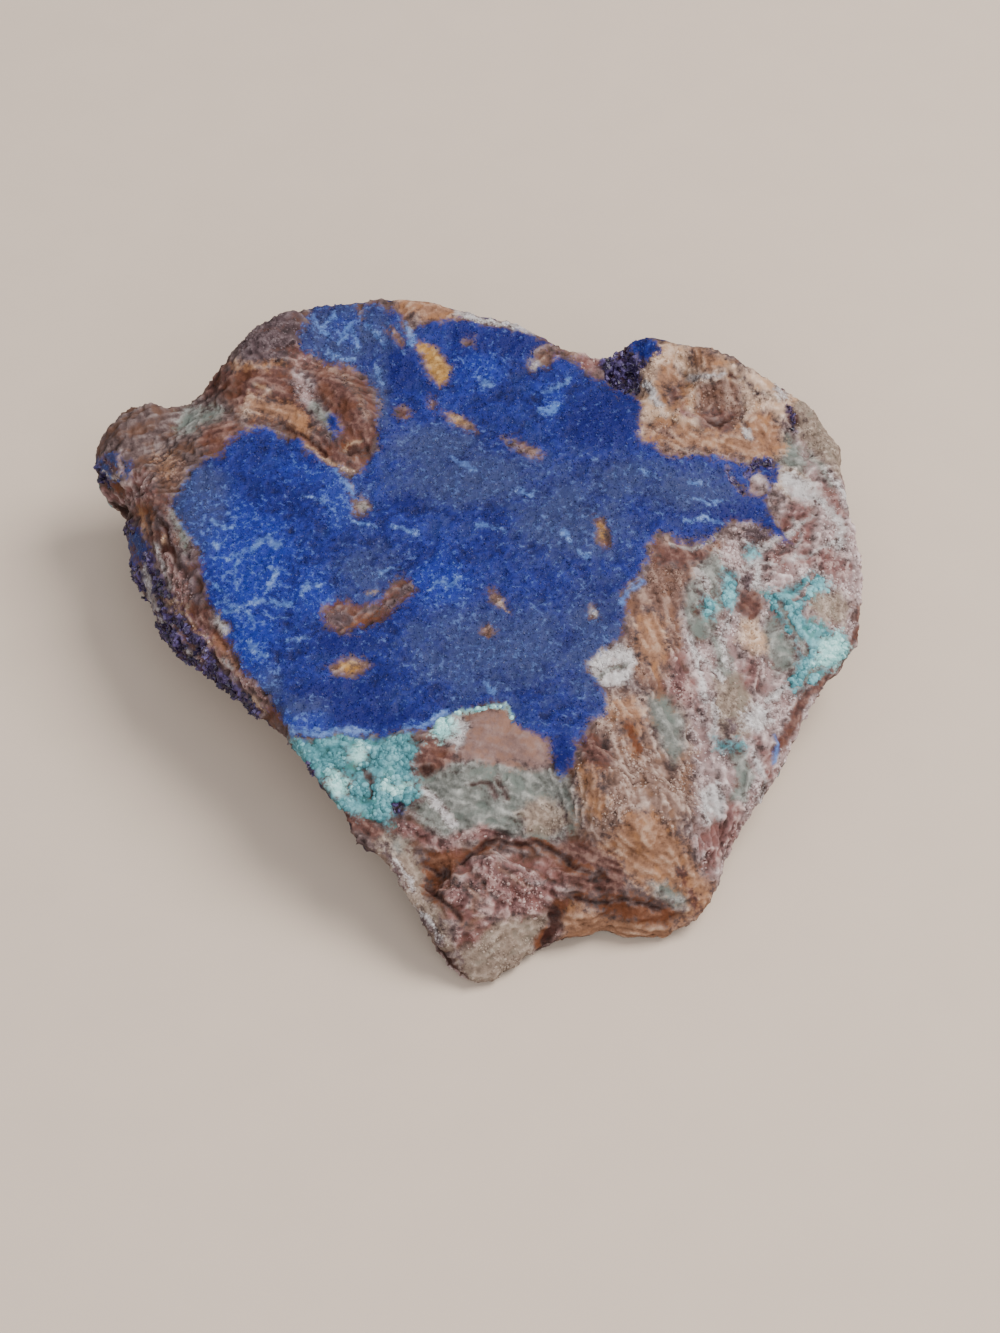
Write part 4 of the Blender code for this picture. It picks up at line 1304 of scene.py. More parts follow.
FINISHES = {
    Skin.BROWN: Finish(
        tones=((0.018, 0.01, 0.011), (0.058, 0.035, 0.038), (0.16, 0.118, 0.122)),
        accent=(0.07, 0.03, 0.022),
        fibre=0.12,
        edge=1.2,
        crag=0.26,
        strand=0.05,
    ),
    Skin.GRANULAR: Finish(
        tones=((0.075, 0.052, 0.049), (0.265, 0.192, 0.186), (0.52, 0.43, 0.42)),
        accent=(0.19, 0.115, 0.11),
        blotches=0.5,
        painted_hollow_shade=0.55,
        fibre=0.3,
        speckle=0.38,
        drift=0.7,
        painted_pit_shade=0.3,
        edge=1.6,
        crag=0.28,
    ),
    Skin.GREEN_GREY: Finish(
        tones=((0.04, 0.04, 0.033), (0.12, 0.12, 0.108), (0.3, 0.295, 0.27)),
        accent=(0.1, 0.115, 0.1),
        fibre=0.22,
        drift=0.6,
        painted_pit_shade=0.3,
        edge=1.5,
        crag=0.18,
        strand=0.08,
    ),
    Skin.BEIGE: Finish(
        tones=((0.055, 0.036, 0.026), (0.165, 0.118, 0.09), (0.36, 0.29, 0.24)),
        accent=(0.13, 0.105, 0.08),
        painted_pit_shade=0.2,
        grain=0.06,
        painted_hollow_shade=0.25,
        fibre=0.2,
        edge=1.4,
        crag=0.12,
        strand=0.06,
    ),
    Skin.CREAM: Finish(
        tones=((0.13, 0.075, 0.055), (0.33, 0.22, 0.155), (0.62, 0.47, 0.38)),
        accent=(0.3, 0.17, 0.09),
        blotches=0.45,
        roughness=(0.4, 0.75),
        grain=0.05,
        fibre=0.12,
        speckle=0.4,
        drift=1.1,
        painted_pit_shade=0.12,
        fray=0.7,
        edge=1.2,
        crag=0.14,
        strand=0.05,
    ),
    Skin.CHALK: Finish(
        tones=((0.13, 0.112, 0.108), (0.31, 0.285, 0.28), (0.56, 0.54, 0.54)),
        accent=(0.25, 0.2, 0.19),
        painted_pit_shade=0.15,
        painted_hollow_shade=0.25,
        fibre=0.15,
        edge=1.1,
        crag=0.12,
        strand=0.06,
    ),
    Skin.FIBROUS: Finish(
        tones=((0.04, 0.02, 0.015), (0.152, 0.09, 0.07), (0.36, 0.265, 0.22)),
        accent=(0.155, 0.078, 0.046),
        painted_hollow_shade=0.5,
        fibre=0.35,
        speckle=0.5,
        painted_pit_shade=0.3,
        edge=1.6,
        crag=0.25,
        strand=0.13,
    ),
    Skin.TAN: Finish(
        tones=((0.03, 0.012, 0.008), (0.115, 0.06, 0.045), (0.28, 0.185, 0.145)),
        accent=(0.125, 0.055, 0.03),
        painted_pit_shade=0.3,
        fibre=0.32,
        edge=1.1,
        strand=0.14,
    ),
    Skin.RUST: Finish(
        tones=((0.012, 0.0035, 0.002), (0.075, 0.03, 0.024), (0.2, 0.115, 0.092)),
        accent=(0.085, 0.028, 0.014),
        fibre=0.3,
        edge=1.0,
        lift=-0.05,
        strand=0.13,
    ),
    Skin.AMBER: Finish(
        tones=((0.05, 0.02, 0.01), (0.195, 0.096, 0.056), (0.4, 0.275, 0.195)),
        accent=(0.22, 0.098, 0.042),
        speckle=0.5,
        painted_pit_shade=0.15,
        painted_hollow_shade=0.25,
        edge=1.2,
        crag=0.14,
        strand=0.13,
    ),
    Skin.EMBER: Finish(
        tones=((0.014, 0.004, 0.001), (0.072, 0.024, 0.011), (0.19, 0.085, 0.05)),
        accent=(0.09, 0.025, 0.008),
        blotches=0.5,
        edge=1.0,
        lift=-0.1,
        crag=0.18,
        strand=0.1,
    ),
    Skin.PEACH: Finish(
        tones=((0.09, 0.05, 0.043), (0.138, 0.08, 0.07), (0.24, 0.165, 0.15)),
        accent=(0.165, 0.08, 0.052),
        blotches=0.5,
        roughness=(0.6, 0.8),
        grain=0.05,
        speckle=0.5,
        drift=1.6,
        painted_pit_shade=0.2,
        painted_hollow_shade=0.15,
        fibre=0.1,
        edge=1.0,
        lift=0.06,
        crag=0.07,
        strand=0.03,
    ),
    Skin.ROSE: Finish(
        tones=((0.04, 0.014, 0.012), (0.145, 0.07, 0.066), (0.36, 0.25, 0.23)),
        accent=(0.13, 0.05, 0.042),
        painted_hollow_shade=0.55,
        speckle=0.45,
        painted_pit_shade=0.3,
        edge=1.5,
        crag=0.28,
    ),
    Skin.MINT: Finish(
        tones=((0.08, 0.2, 0.19), (0.19, 0.39, 0.375), (0.45, 0.68, 0.66)),
        accent=(0.28, 0.5, 0.48),
        edge=1.0,
        lift=0.06,
        crag=0.06,
        strand=0.0,
        knob=0.08,
    ),
    Skin.MALACHITE: Finish(
        tones=((0.015, 0.058, 0.06), (0.045, 0.145, 0.168), (0.16, 0.35, 0.38)),
        accent=(0.028, 0.115, 0.1),
        painted_pit_shade=0.25,
        painted_hollow_shade=0.35,
        fibre=0.0,
        drift=1.6,
        edge=1.1,
        lift=0.07,
        crag=0.12,
        strand=0.0,
        knob=0.13,
    ),
    Skin.OCHRE: Finish(
        tones=((0.06, 0.024, 0.006), (0.215, 0.108, 0.03), (0.42, 0.26, 0.1)),
        accent=(0.24, 0.11, 0.016),
        blotches=0.5,
        painted_pit_shade=0.2,
        edge=0.9,
        lift=-0.04,
        crag=0.14,
        strand=0.08,
    ),
    Skin.INDIGO: Finish(
        tones=((0.003, 0.0014, 0.006), (0.015, 0.0075, 0.034), (0.11, 0.08, 0.21)),
        accent=(0.03, 0.009, 0.012),
        roughness=(0.3, 0.65),
        drift=1.5,
        edge=0.9,
        crag=0.4,
        knob=0.22,
    ),
    # dark crust, and painted shade in the crevices, hollows, pits and shadow lines it is drawn into
    Skin.DARK: Finish(
        tones=((0.005, 0.0012, 0.001), (0.02, 0.006, 0.004), (0.07, 0.03, 0.022)),
        accent=(0.035, 0.008, 0.005),
        fray=0.6,
        edge=0.7,
        lift=-0.3,
    ),
    Skin.AZURITE: AzuriteFinish(
        tones=((0.001, 0.002, 0.04), (0.004, 0.0075, 0.1), (0.014, 0.025, 0.19)),
        accent=(0.008, 0.014, 0.09),
        roughness=(0.4, 0.8),
        painted_pit_shade=0.5,
        fibre=0.1,
        drift=1.6,
        edge=0.8,
        lift=0.12,
        crag=0.1,
        strand=0.03,
    ),
    # light blue, and painted highlights on the crust
    Skin.SKY: Finish(
        tones=((0.014, 0.032, 0.14), (0.056, 0.1, 0.25), (0.22, 0.3, 0.5)),
        accent=(0.05, 0.11, 0.3),
        painted_hollow_shade=0.2,
        fibre=0.0,
        fray=0.62,
        edge=0.8,
        lift=0.14,
        crag=0.08,
        strand=0.03,
    ),
}


@dataclass(frozen=True)
class StoneMaterial:
    """A material of some minerals, laid over each other in the order of their finishes.

    Attributes:
        name: of the material.
        base: the finish below them all.
        skins: the minerals.
        gloss: strength of its reflections.
        polish: how much smoother it is than its finishes.
    """

    name: str = "stone"
    base: Finish = MATRIX
    skins: tuple[Skin, ...] = tuple(FINISHES)
    gloss: float = 0.17
    polish: float = 0.0

    def build(self) -> bpy.types.Material:
        """Make the material.

        Returns:
            It.
        """
        material = bpy.data.materials.new(self.name)
        material.use_nodes = True
        graph = Graph(material)
        fields = Fields(graph)
        coat = self.base.coat(graph, fields)
        fray = 1.1 * fields.grit + 0.5 * fields.dust + 0.9 * fields.mottle - 1.25
        for skin in self.skins:
            finish = FINISHES[skin]
            depth = graph.attribute(skin.value) + fray * finish.fray * (0.7 + 1.2 * finish.edge)
            share = depth.rise(-0.5 * finish.edge, 0.5 * finish.edge)
            coat = finish.coat(graph, fields).over(coat, graph, share)
        bump = {"Height": coat.height, "Distance": MM, "Strength": 1.0}
        graph.feed(graph.shader.inputs["Base Color"], coat.colour)
        graph.feed(graph.shader.inputs["Roughness"], coat.roughness - self.polish)
        graph.feed(graph.shader.inputs["Normal"], graph.add("ShaderNodeBump", {}, bump))
        graph.shader.inputs["Specular IOR Level"].default_value = self.gloss
        return material


# ---------------------------------------------------------------------------------------------------
# The stone
# ---------------------------------------------------------------------------------------------------


@dataclass
class Survey:
    """What covers each point of a set: distances into each mineral and the azurite's tones.

    Attributes:
        depths: for each mineral, how far inside it each point lies, in millimetres.
        tones: for each tone, its strength at each point.
    """

    depths: dict[Skin, np.ndarray]
    tones: dict[Tone, np.ndarray]

    # greatest depth that is kept, in millimetres, and how far round a patch is looked at, in pixels
    LIMIT = 1.5
    MARGIN = 30.0
    # the two ripples of the borders: how far they stray, in pixels, and their size, in millimetres
    COARSE = (3.0, 1.5)
    FINE = (2.4, 0.6)
    # where sight of the surface fades, as a cosine, and how much further that is on its upper side
    SIGHT = (-0.14, -0.02)
    OVER_RIM = 0.24
    # least depth at which a mineral carries something, in millimetres
    FOOTHOLD = 0.1

    @classmethod
    def of(cls, points: np.ndarray, normals: np.ndarray) -> "Survey":
        """Survey points of the stone.

        Args:
            points: in millimetres, one a row.
            normals: of the surface there.

        Returns:
            The survey.
        """
        size = VIEW.pixel_size()
        places = VIEW.pixels(points)
        warped = places + np.column_stack([cls.stray(points, level) for level in (1.0, 2.0)])
        depths = {skin: np.full(len(points), -cls.LIMIT) for skin in Skin}
        for patch in MATRIX_PATCHES + CRUST_PATCHES:
            low, high = patch.reach()
            near = np.all((warped > low - cls.MARGIN) & (warped < high + cls.MARGIN), axis=1)
            inside = np.clip(size * patch.depth(warped[near]), -cls.LIMIT, cls.LIMIT)
            for skin, depth in depths.items():
                if skin is patch.skin:
                    depth[near] = np.maximum(depth[near], inside)
                elif patch.skin is not Skin.SKY:
                    depth[near] = np.minimum(depth[near], -inside)
        over_rim = cls.OVER_RIM * smoothstep(-0.2, 0.2, normals[:, 2])
        seen = smoothstep(*cls.SIGHT, VIEW.facing(points, normals) + over_rim)
        away = seen < 1
        hidden = cls.hidden_depths(points[away])
        for skin in Skin:
            depths[skin][away] += (1 - seen[away]) * (hidden[skin] - depths[skin][away])
        tones = {tone: np.zeros(len(points)) for tone in Tone}
        for cloud in CLOUDS:
            tones[cloud.tone] = np.maximum(tones[cloud.tone], cloud.weight(places))
        return cls(depths, tones)

    @classmethod
    def stray(cls, points: np.ndarray, level: float) -> np.ndarray:
        """How far the minerals' borders stray at points, in pixels, in the pattern of a level."""
        coarse = cls.COARSE[0] * ripple(points, cls.COARSE[1], level)
        return coarse + cls.FINE[0] * ripple(points, cls.FINE[1], level + 3)

    @classmethod
    def hidden_depths(cls, points: np.ndarray) -> dict[Skin, np.ndarray]:
        """Minerals on the sides that the camera can't see.

        Args:
            points: in millimetres, one a row.

        Returns:
            For each mineral, how far inside it each point lies, in millimetres.
        """
        broad = ripple(points, 9.0, 7.0)
        middle = ripple(points, 4.0, 8.0)
        small = ripple(points, 1.8, 9.0)
        below = Stone.face_height(points) - points[:, 2]
        depths = {skin: np.full(len(points), -cls.LIMIT) for skin in Skin}
        depths[Skin.RUST] = 3.0 * (broad + 0.5 * middle)
        depths[Skin.BEIGE] = 4.0 * (ripple(points, 7.0, 11.0) + 0.4 * small - 0.22)
        depths[Skin.GRANULAR] = 4.0 * (ripple(points, 8.0, 12.0) + 0.4 * middle - 0.18)
        depths[Skin.DARK] = 3.0 * (ripple(points, 3.0, 13.0) + 0.4 * small - 0.5)
        depths[Skin.MALACHITE] = 4.0 * (ripple(points, 5.0, 14.0) + 0.5 * small - 0.52)
        depths[Skin.INDIGO] = 2.2 + 1.4 * middle + 0.8 * small - 0.8 * np.abs(below - 1.0)
        depths[Skin.AZURITE] = 1.2 + 1.0 * middle + 0.5 * small - 1.1 * below
        for skin, depth in depths.items():
            depths[skin] = np.clip(depth, -cls.LIMIT, cls.LIMIT)
        return depths

    def cover(self, skins: tuple[Skin, ...]) -> np.ndarray:
        """Which points lie well inside one of some minerals, and not under a later one."""
        top = np.full(len(next(iter(self.depths.values()))), -1)
        for number, skin in enumerate(FINISHES):
            top[self.depths[skin] > self.FOOTHOLD] = number
        wanted = [number for number, skin in enumerate(FINISHES) if skin in skins]
        return np.isin(top, wanted)

    def keep(self, mesh: bpy.types.Mesh, rows: np.ndarray | slice = slice(None)) -> None:
        """Store the survey on a mesh.

        Args:
            mesh: whose points it covers.
            rows: the surveyed point that each of the mesh's points takes after.
        """
        for skin, depth in self.depths.items():
            store(mesh, skin.value, depth[rows])
        for tone, strength in self.tones.items():
            store(mesh, tone.value, strength[rows])


@dataclass
class Surface:
    """Points of a mesh with what the relief needs to know about them.

    Attributes:
        points: in millimetres, one a row.
        normals: of the surface there.
    """

    points: np.ndarray
    normals: np.ndarray

    @classmethod
    def of(cls, mesh: bpy.types.Mesh) -> "Surface":
        """Read a mesh."""
        points, normals = (np.empty(len(mesh.vertices) * 3, np.float32) for _ in range(2))
        mesh.vertices.foreach_get("co", points)
        mesh.vertices.foreach_get("normal", normals)
        return cls(points.reshape(-1, 3).astype(float) / MM, normals.reshape(-1, 3).astype(float))

    def write(self, mesh: bpy.types.Mesh) -> None:
        """Move the mesh's points to where they are here."""
        mesh.vertices.foreach_set("co", (self.points * MM).astype(np.float32).ravel())
        mesh.update()


@dataclass
class Relief:
    """Ridges, fibres and knobs of the surface, which its colours follow too, with painted shade in its
    hollows.

    Attributes:
        height: how far each point moves out, in millimetres.
        ridge: how high it lies among its neighbours, from -1 to 1.
        streak: the fibres' pattern, from -1 to 1.
        vein: the pattern of broader bands along the fibres, from -1 to 1.
    """

    height: np.ndarray
    ridge: np.ndarray
    streak: np.ndarray
    vein: np.ndarray

    # sizes of the patterns, in millimetres
    CRAG = 1.5
    FIBRE = 0.42
    VEIN = 1.1
    KNOB = 0.8

    @classmethod
    def of(cls, surface: Surface, survey: Survey) -> "Relief":
        """Work out the relief.

        Args:
            surface: the points.
            survey: what covers them.

        Returns:
            The relief.
        """
        points = surface.points
        crag = crags(points, cls.CRAG, 20.0)
        along = VIEW.fibres(points, surface.normals)
        streak = streaks(points, along, cls.FIBRE, 22.0)
        vein = streaks(points, along, cls.VEIN, 25.0)
        knob = 2 * knobs(points, cls.KNOB) - 1
        height, ridge = cls.mix(MATRIX, crag, streak, knob)
        for skin, finish in FINISHES.items():
            share = smoothstep(-0.5 * finish.edge, 0.5 * finish.edge, survey.depths[skin])
            own_height, own_ridge = cls.mix(finish, crag, streak, knob)
            height += share * (own_height - height)
            ridge += share * (own_ridge - ridge)
        return cls(height, ridge, streak, vein)

    def keep(self, mesh: bpy.types.Mesh) -> None:
        """Store on a mesh what its material reads."""
        store(mesh, "relief", self.ridge)
        store(mesh, "streak", self.streak)
        store(mesh, "vein", self.vein)

    @staticmethod
    def mix(finish: Finish, crag: np.ndarray, streak: np.ndarray, knob: np.ndarray) -> tuple:
        """Height and ridge of one finish's own relief.

        Args:
            finish: the finish.
            crag: pattern of the ridges.
            streak: pattern of the fibres.
            knob: pattern of the rounded knobs.

        Returns:
            The height, in millimetres, and the ridge, from -1 to 1.
        """
        shape = finish.crag * crag + finish.strand * streak + finish.knob * knob
        return finish.lift + shape, shape / (finish.crag + finish.strand + finish.knob)


@dataclass
class Ground:
    """The stone's finished surface, for what stands on it.

    Attributes:
        surface: its points.
        survey: what covers them.
        seen: whether the camera sees each point.
        corners: point numbers of its triangles.
        areas: of the triangles, in square millimetres.
    """

    surface: Surface
    survey: Survey
    seen: np.ndarray
    corners: np.ndarray
    areas: np.ndarray

    @classmethod
    def of(cls, mesh: bpy.types.Mesh, surface: Surface, survey: Survey, seen: np.ndarray) -> "Ground":
        """Read a mesh's triangles.

        Args:
            mesh: the stone's surface.
            surface: its points.
            survey: what covers them.
            seen: whether the camera sees each point.

        Returns:
            The ground.
        """
        mesh.calc_loop_triangles()
        corners = np.empty(len(mesh.loop_triangles) * 3, np.int32)
        mesh.loop_triangles.foreach_get("vertices", corners)
        corners = corners.reshape(-1, 3)
        spots = surface.points[corners]
        across = np.cross(spots[:, 1] - spots[:, 0], spots[:, 2] - spots[:, 0])
        return cls(surface, survey, seen, corners, 0.5 * np.linalg.norm(across, axis=1))


class Part(Enum):
    """The parts that the stone's surface is split into, so that each gets its own map."""

    BACK = 0
    MATRIX = 1
    CRUST = 2


@dataclass
class Stone:
    """The stone's fine surface, in place of the plain solid.

    Attributes:
        mesh_size: of its faces on the far side, in millimetres; they are half that in front.
        smoothing: passes that round off the solid's facets.
    """

    mesh_size: float = 0.37
    smoothing: int = 8

    # height of the azurite face over the middle, in millimetres, and its rise towards the back
    FACE_LEVEL = 14.5
    FACE_RISE = 0.145
    # heights over the table between which the relief sets in, in millimetres
    RESTING = (0.15, 0.6)

    @classmethod
    def face_height(cls, points: np.ndarray) -> np.ndarray:
        """Height of the azurite face over each point, in millimetres."""
        return cls.FACE_LEVEL + cls.FACE_RISE * points[:, 1]

    @staticmethod
    def modified(mesh: bpy.types.Mesh, modifiers: tuple) -> bpy.types.Mesh:
        """A mesh after modifiers.

        Args:
            mesh: that it starts from.
            modifiers: pairs of a modifier's type and its settings.

        Returns:
            The new mesh.
        """
        piece = bpy.data.objects.new("rough", mesh)
        bpy.context.scene.collection.objects.link(piece)
        for kind, settings in modifiers:
            modifier = piece.modifiers.new(kind.lower(), kind)
            for name, value in settings.items():
                setattr(modifier, name, value)
        graph = bpy.context.evaluated_depsgraph_get()
        result = bpy.data.meshes.new_from_object(piece.evaluated_get(graph), depsgraph=graph)
        bpy.data.objects.remove(piece)
        return result

    def split_faces(self, mesh: bpy.types.Mesh) -> None:
        """Halve the faces that the camera sees."""
        work = bmesh.new()
        work.from_mesh(mesh)
        middles = np.array([face.calc_center_median() for face in work.faces]) / MM
        normals = np.array([face.normal for face in work.faces])
        seen = VIEW.facing(middles, normals) > EDGE_ON
        edges = {edge for face, front in zip(work.faces, seen) if front for edge in face.edges}
        bmesh.ops.subdivide_edges(work, edges=list(edges), cuts=1, use_grid_fill=True)
        work.to_mesh(mesh)
        work.free()

    def fine_mesh(self) -> bpy.types.Mesh:
        """The solid's shape with a fine, even mesh.

        Returns:
            The mesh, in metres.
        """
        solid = frame["nodes"][NODE].data.copy()
        even = (
            ("WELD", {"merge_threshold": 0.01 * MM}),
            ("SUBSURF", {"levels": 1}),
            ("REMESH", {"mode": "VOXEL", "voxel_size": self.mesh_size * MM}),
        )
        mesh = self.modified(solid, even)
        self.split_faces(mesh)
        return self.modified(mesh, (("SMOOTH", {"factor": 0.5, "iterations": self.smoothing}),))

    def shape(self) -> tuple[bpy.types.Mesh, Ground]:
        """The whole stone's fine surface with everything that its material reads.

        Returns:
            The mesh, in metres, and the ground for what stands on it.
        """
        mesh = self.fine_mesh()
        surface = Surface.of(mesh)
        survey = Survey.of(surface.points, surface.normals)
        relief = Relief.of(surface, survey)
        facing = VIEW.facing(surface.points, surface.normals)
        resting = smoothstep(*self.RESTING, surface.points[:, 2])
        surface.points += surface.normals * (relief.height * resting)[:, None]
        surface.points[:, 2] = np.maximum(surface.points[:, 2], 0)
        surface.write(mesh)
        survey.keep(mesh)
        relief.keep(mesh)
        final = Surface.of(mesh)
        store(mesh, "shading", final.normals)
        store(mesh, "form", surface.normals)
        parts = np.where(facing < EDGE_ON, Part.BACK.value, Part.MATRIX.value)
        plate = survey.cover((Skin.AZURITE,)) & (facing >= EDGE_ON)
        store(mesh, "part", np.where(plate, Part.CRUST.value, parts).astype(float))
        return mesh, Ground.of(mesh, final, survey, facing > EDGE_ON)

    def part_mesh(self, whole: bpy.types.Mesh, part: Part) -> bpy.types.Mesh:
        """One part of the stone's surface, shaded as it is in the whole.

        Args:
            whole: the stone's surface.
            part: which part.

        Returns:
            The mesh, in metres.
        """
        work = bmesh.new()
        work.from_mesh(whole)
        layer = work.verts.layers.float["part"]
        others = [face for face in work.faces if round(face.verts[0][layer]) != part.value]
        bmesh.ops.delete(work, geom=others, context="FACES")
        mesh = bpy.data.meshes.new(part.name.lower())
        work.to_mesh(mesh)
        work.free()
        mesh.polygons.foreach_set("use_smooth", np.ones(len(mesh.polygons), bool))
        mesh.normals_split_custom_set_from_vertices(stored(mesh, "shading"))
        if part is Part.BACK:
            chart_from_behind(mesh)
        else:
            chart_from_camera(mesh)
        return mesh

    def build(self) -> Ground:
        """Make the stone's parts.

        Returns:
            The whole surface, for what stands on it.
        """
        whole, ground = self.shape()
        material = StoneMaterial().build()
        for part in Part:
            mesh = self.part_mesh(whole, part)
            mesh.materials.clear()
            mesh.materials.append(material)
            piece = add_piece(f"stone_{part.name.lower()}", mesh)
            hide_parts(NODE)
            LOG.info("%s of %d triangles", piece.name, sum(len(face.vertices) - 2 for face in mesh.polygons))
        bpy.data.meshes.remove(whole)
        return ground


# ---------------------------------------------------------------------------------------------------
# Crystals, spherules and grains
# ---------------------------------------------------------------------------------------------------


@dataclass(frozen=True)
class Body:
    """A small solid that is strewn over the stone.

    Attributes:
        points: its corners, one a row, within a unit box.
        triangles: three corner numbers a row.
    """

    points: np.ndarray
    triangles: np.ndarray

    @classmethod
    def crystal(cls) -> "Body":
        """A squat prism with pointed ends, four-sided."""
        ring = [(math.cos(turn), math.sin(turn), 0.0) for turn in np.radians((25, 155, 205, 335))]
        points = np.array([*ring, (0.15, 0.0, 0.9), (-0.15, 0.0, -0.9)])
        upper = [(corner, (corner + 1) % 4, 4) for corner in range(4)]
        lower = [((corner + 1) % 4, corner, 5) for corner in range(4)]
        return cls(points, np.array(upper + lower))

    @classmethod
    def ball(cls, splits: int) -> "Body":
        """A ball of triangles.

        Args:
            splits: how often an icosahedron is subdivided, from 1 for none.

        Returns:
            The ball.
        """
        work = bmesh.new()
        bmesh.ops.create_icosphere(work, subdivisions=splits, radius=1.0)
        points = np.array([corner.co for corner in work.verts])
        triangles = np.array([[corner.index for corner in face.verts] for face in work.faces])
        work.free()
        return cls(points, triangles)


@dataclass
class Litter:
    """Small bodies strewn over some of the stone's minerals, joined into one mesh.

    Attributes:
        name: of the piece.
        body: what is strewn.
        material: what it is made of.
        skins: the minerals that carry it.
        count: how many there are.
        sizes: least and greatest half size, in millimetres.
        squash: least and greatest stretch of each axis.
        sink: how deep their middles lie under the surface, as a share of their size.
        smooth: whether their faces are shaded smooth.
        shade: lowest and highest tone, from -1 to 1.
        clump: size of the clusters they come in, in millimetres, or 0 for an even spread.
        seed: of the random choices.
    """

    name: str
    body: Body
    material: StoneMaterial
    skins: tuple[Skin, ...]
    count: int
    sizes: tuple[float, float]
    squash: tuple[float, float] = (0.6, 1.0)
    sink: float = 0.2
    smooth: bool = False
    shade: tuple[float, float] = (-1.0, 1.0)
    clump: float = 0.0
    seed: int = 1

    # painted light: how much lighter the top of a body is painted than its middle, as if lit from above
    PAINTED_TOP_LIGHT = 0.35

    def places(self, ground: Ground, random: np.random.Generator) -> tuple[np.ndarray, np.ndarray]:
        """Choose where the bodies stand.

        Args:
            ground: the stone's surface.
            random: the source of chance.

        Returns:
            Points in millimetres, and the number of the surface's point next to each.
        """
        first = ground.corners[:, 0]
        wanted = ground.survey.cover(self.skins) & ground.seen
        weight = ground.areas * wanted[first]
        if self.clump:
            share = smoothstep(-0.25, 0.25, ripple(ground.surface.points, self.clump, self.seed))
            weight = weight * share[first]
        chosen = random.choice(len(weight), self.count, p=weight / weight.sum())
        shares = random.dirichlet((1, 1, 1), self.count)
        return np.einsum("ij,ijk->ik", shares, ground.surface.points[ground.corners[chosen]]), first[chosen]

    def build(self, ground: Ground) -> bpy.types.Object:
        """Strew the bodies.

        Args:
            ground: the stone's surface.

        Returns:
            The piece.
        """
        random = np.random.default_rng(self.seed)
        places, near = self.places(ground, random)
        normals = ground.surface.normals[near]
        size = random.uniform(*self.sizes, self.count)
        stretch = random.uniform(*self.squash, (self.count, 3))
        turns = np.linalg.qr(random.normal(size=(self.count, 3, 3)))[0]
        local = self.body.points[None] * (stretch * size[:, None])[:, None, :]
        centres = places - normals * (self.sink * size)[:, None]
        points = centres[:, None] + np.einsum("nij,nkj->nki", turns, local)
        lift = np.einsum("nkj,nj->nk", points - centres[:, None], normals) / size[:, None]
        points[..., 2] = np.maximum(points[..., 2], 0.0)
        corners = self.body.triangles[None] + np.arange(self.count)[:, None, None] * len(self.body.points)
        flip = np.linalg.det(turns) < 0
        corners[flip] = corners[flip][..., ::-1]
        mesh = mesh_from_triangles(self.name, points.reshape(-1, 3) * MM, corners.reshape(-1, 3))
        rows = np.repeat(np.arange(self.count), len(self.body.points))
        ground.survey.keep(mesh, near[rows])
        # painted light: each body's random tone, painted lighter towards its top
        shade = random.uniform(*self.shade, self.count)[:, None] + self.PAINTED_TOP_LIGHT * lift
        store(mesh, "relief", np.clip(shade, -1, 1).ravel())
        store(mesh, "streak", np.zeros(len(rows)))
        store(mesh, "vein", np.zeros(len(rows)))
        mesh.polygons.foreach_set("use_smooth", np.full(len(mesh.polygons), self.smooth))
        chart_from_camera(mesh)
        mesh.materials.append(self.material.build())
        LOG.info("%s of %d triangles", self.name, len(mesh.polygons))
        return add_piece(self.name, mesh)


LITTERS = (
    Litter(
        "azurite_crystals",
        Body.crystal(),
        StoneMaterial("azurite_crystals", FINISHES[Skin.AZURITE], (Skin.SKY,), 0.25, 0.15),
        (Skin.AZURITE,),
        22000,
        (0.1, 0.24),
        sink=0.3,
        shade=(-0.7, 0.6),
        seed=11,
    ),
    Litter(
        "indigo_crystals",
        Body.crystal(),
        StoneMaterial("indigo_crystals", FINISHES[Skin.INDIGO], (), 0.4, 0.1),
        (Skin.INDIGO,),
        1000,
        (0.22, 0.55),
        shade=(-1.0, 0.7),
        seed=12,
    ),
    Litter(
        "malachite_spherules",
        Body.ball(2),
        StoneMaterial("malachite", FINISHES[Skin.MALACHITE], (Skin.MINT,), 0.2),
        (Skin.MALACHITE, Skin.MINT),
        1200,
        (0.14, 0.46),
        squash=(0.7, 1.0),
        sink=0.5,
        smooth=True,
        shade=(-0.5, 0.6),
        clump=1.6,
        seed=13,
    ),
    Litter(
        "matrix_grains",
        Body.ball(1),
        StoneMaterial("grains", gloss=0.25),
        (Skin.GRANULAR, Skin.CREAM, Skin.CHALK, Skin.BROWN, Skin.ROSE, Skin.BEIGE, Skin.TAN, Skin.FIBROUS),
        8000,
        (0.1, 0.26),
        squash=(0.4, 1.0),
        sink=0.35,
        shade=(-0.5, 0.5),
        clump=3.0,
        seed=14,
    ),
)


# ---------------------------------------------------------------------------------------------------
# The studio
# ---------------------------------------------------------------------------------------------------


@dataclass(frozen=True)
class SoftLight:
    """A square area light that looks at the stone.

    Attributes:
        name: of the light.
        place: in metres.
        side: of the square, in metres.
        power: in watts.
        colour: of its light.
    """

    name: str
    place: tuple[float, float, float]
    side: float
    power: float
    colour: Colour = (1.0, 1.0, 1.0)

    def build(self) -> bpy.types.Object:
        """Hang the light.

        Returns:
            The light object.
        """
        data = bpy.data.lights.new(self.name, "AREA")
        data.size = self.side
        data.energy = self.power
        data.color = self.colour
        light = bpy.data.objects.new(self.name, data)
        light.location = self.place
        light.rotation_euler = Vector(self.place).to_track_quat("Z", "Y").to_euler()
        bpy.context.scene.collection.objects.link(light)
        return light


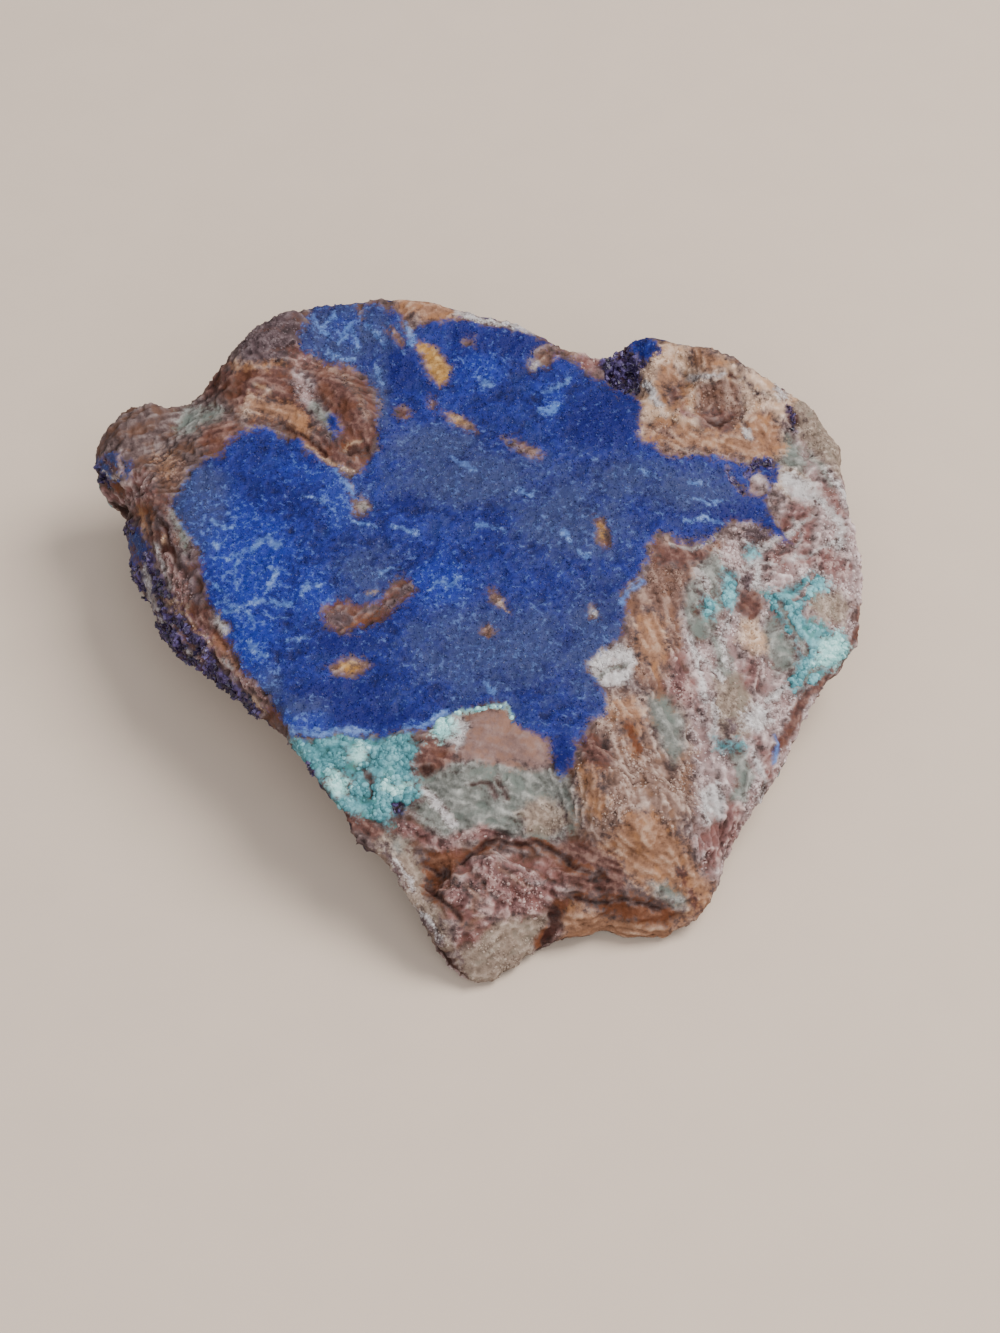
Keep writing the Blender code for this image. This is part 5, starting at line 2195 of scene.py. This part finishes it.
@dataclass(frozen=True)
class Studio:
    """A plain pale floor and soft light.

    Attributes:
        floor_side: in metres.
        floor_colour: linear.
        floor_roughness: how dull the floor is.
        sky: strength of the light from all around.
        sky_colour: of that light.
        lights: the lights.
    """

    floor_side: float = 6.0
    floor_colour: Colour = (0.47, 0.375, 0.3)
    floor_roughness: float = 0.85
    sky: float = 0.75
    sky_colour: Colour = (0.93, 0.96, 1.0)
    lights: tuple[SoftLight, ...] = (
        SoftLight("key", (0.34, 0.08, 0.5), 0.35, 6.5, (1.0, 0.98, 0.95)),
        SoftLight("fill", (0.05, -0.6, 0.45), 0.6, 5.0, (0.98, 0.98, 1.0)),
    )

    def floor_material(self) -> bpy.types.Material:
        """The floor's material, faintly mottled.

        Returns:
            It.
        """
        material = bpy.data.materials.new("floor")
        material.use_nodes = True
        graph = Graph(material)
        fields = Fields(graph)
        darker = tuple(0.94 * part for part in self.floor_colour)
        graph.feed(graph.shader.inputs["Base Color"], graph.blend(fields.cloud, darker, self.floor_colour))
        graph.shader.inputs["Roughness"].default_value = self.floor_roughness
        return material

    def build(self) -> None:
        """Lay the floor, hang the lights and light the air."""
        half = 0.5 * self.floor_side
        corners = np.array([[-half, -half, 0], [half, -half, 0], [half, half, 0], [-half, half, 0]])
        mesh = mesh_from_triangles("floor", corners, np.array([[0, 1, 2], [0, 2, 3]]))
        mesh.materials.append(self.floor_material())
        floor = bpy.data.objects.new("floor", mesh)
        bpy.context.scene.collection.objects.link(floor)
        for light in self.lights:
            light.build()
        world = bpy.data.worlds.new("studio")
        world.use_nodes = True
        air = world.node_tree.nodes["Background"].inputs
        air["Color"].default_value = (*self.sky_colour, 1.0)
        air["Strength"].default_value = self.sky
        bpy.context.scene.world = world


def main() -> None:
    """Build the stone and the studio round it."""
    logging.basicConfig(level=logging.INFO, format="%(name)s: %(message)s")
    VIEW.build()
    Studio().build()
    LOG.info("studio and camera")
    ground = Stone().build()
    for litter in LITTERS:
        litter.build(ground)


if __name__ == "__main__":
    main()
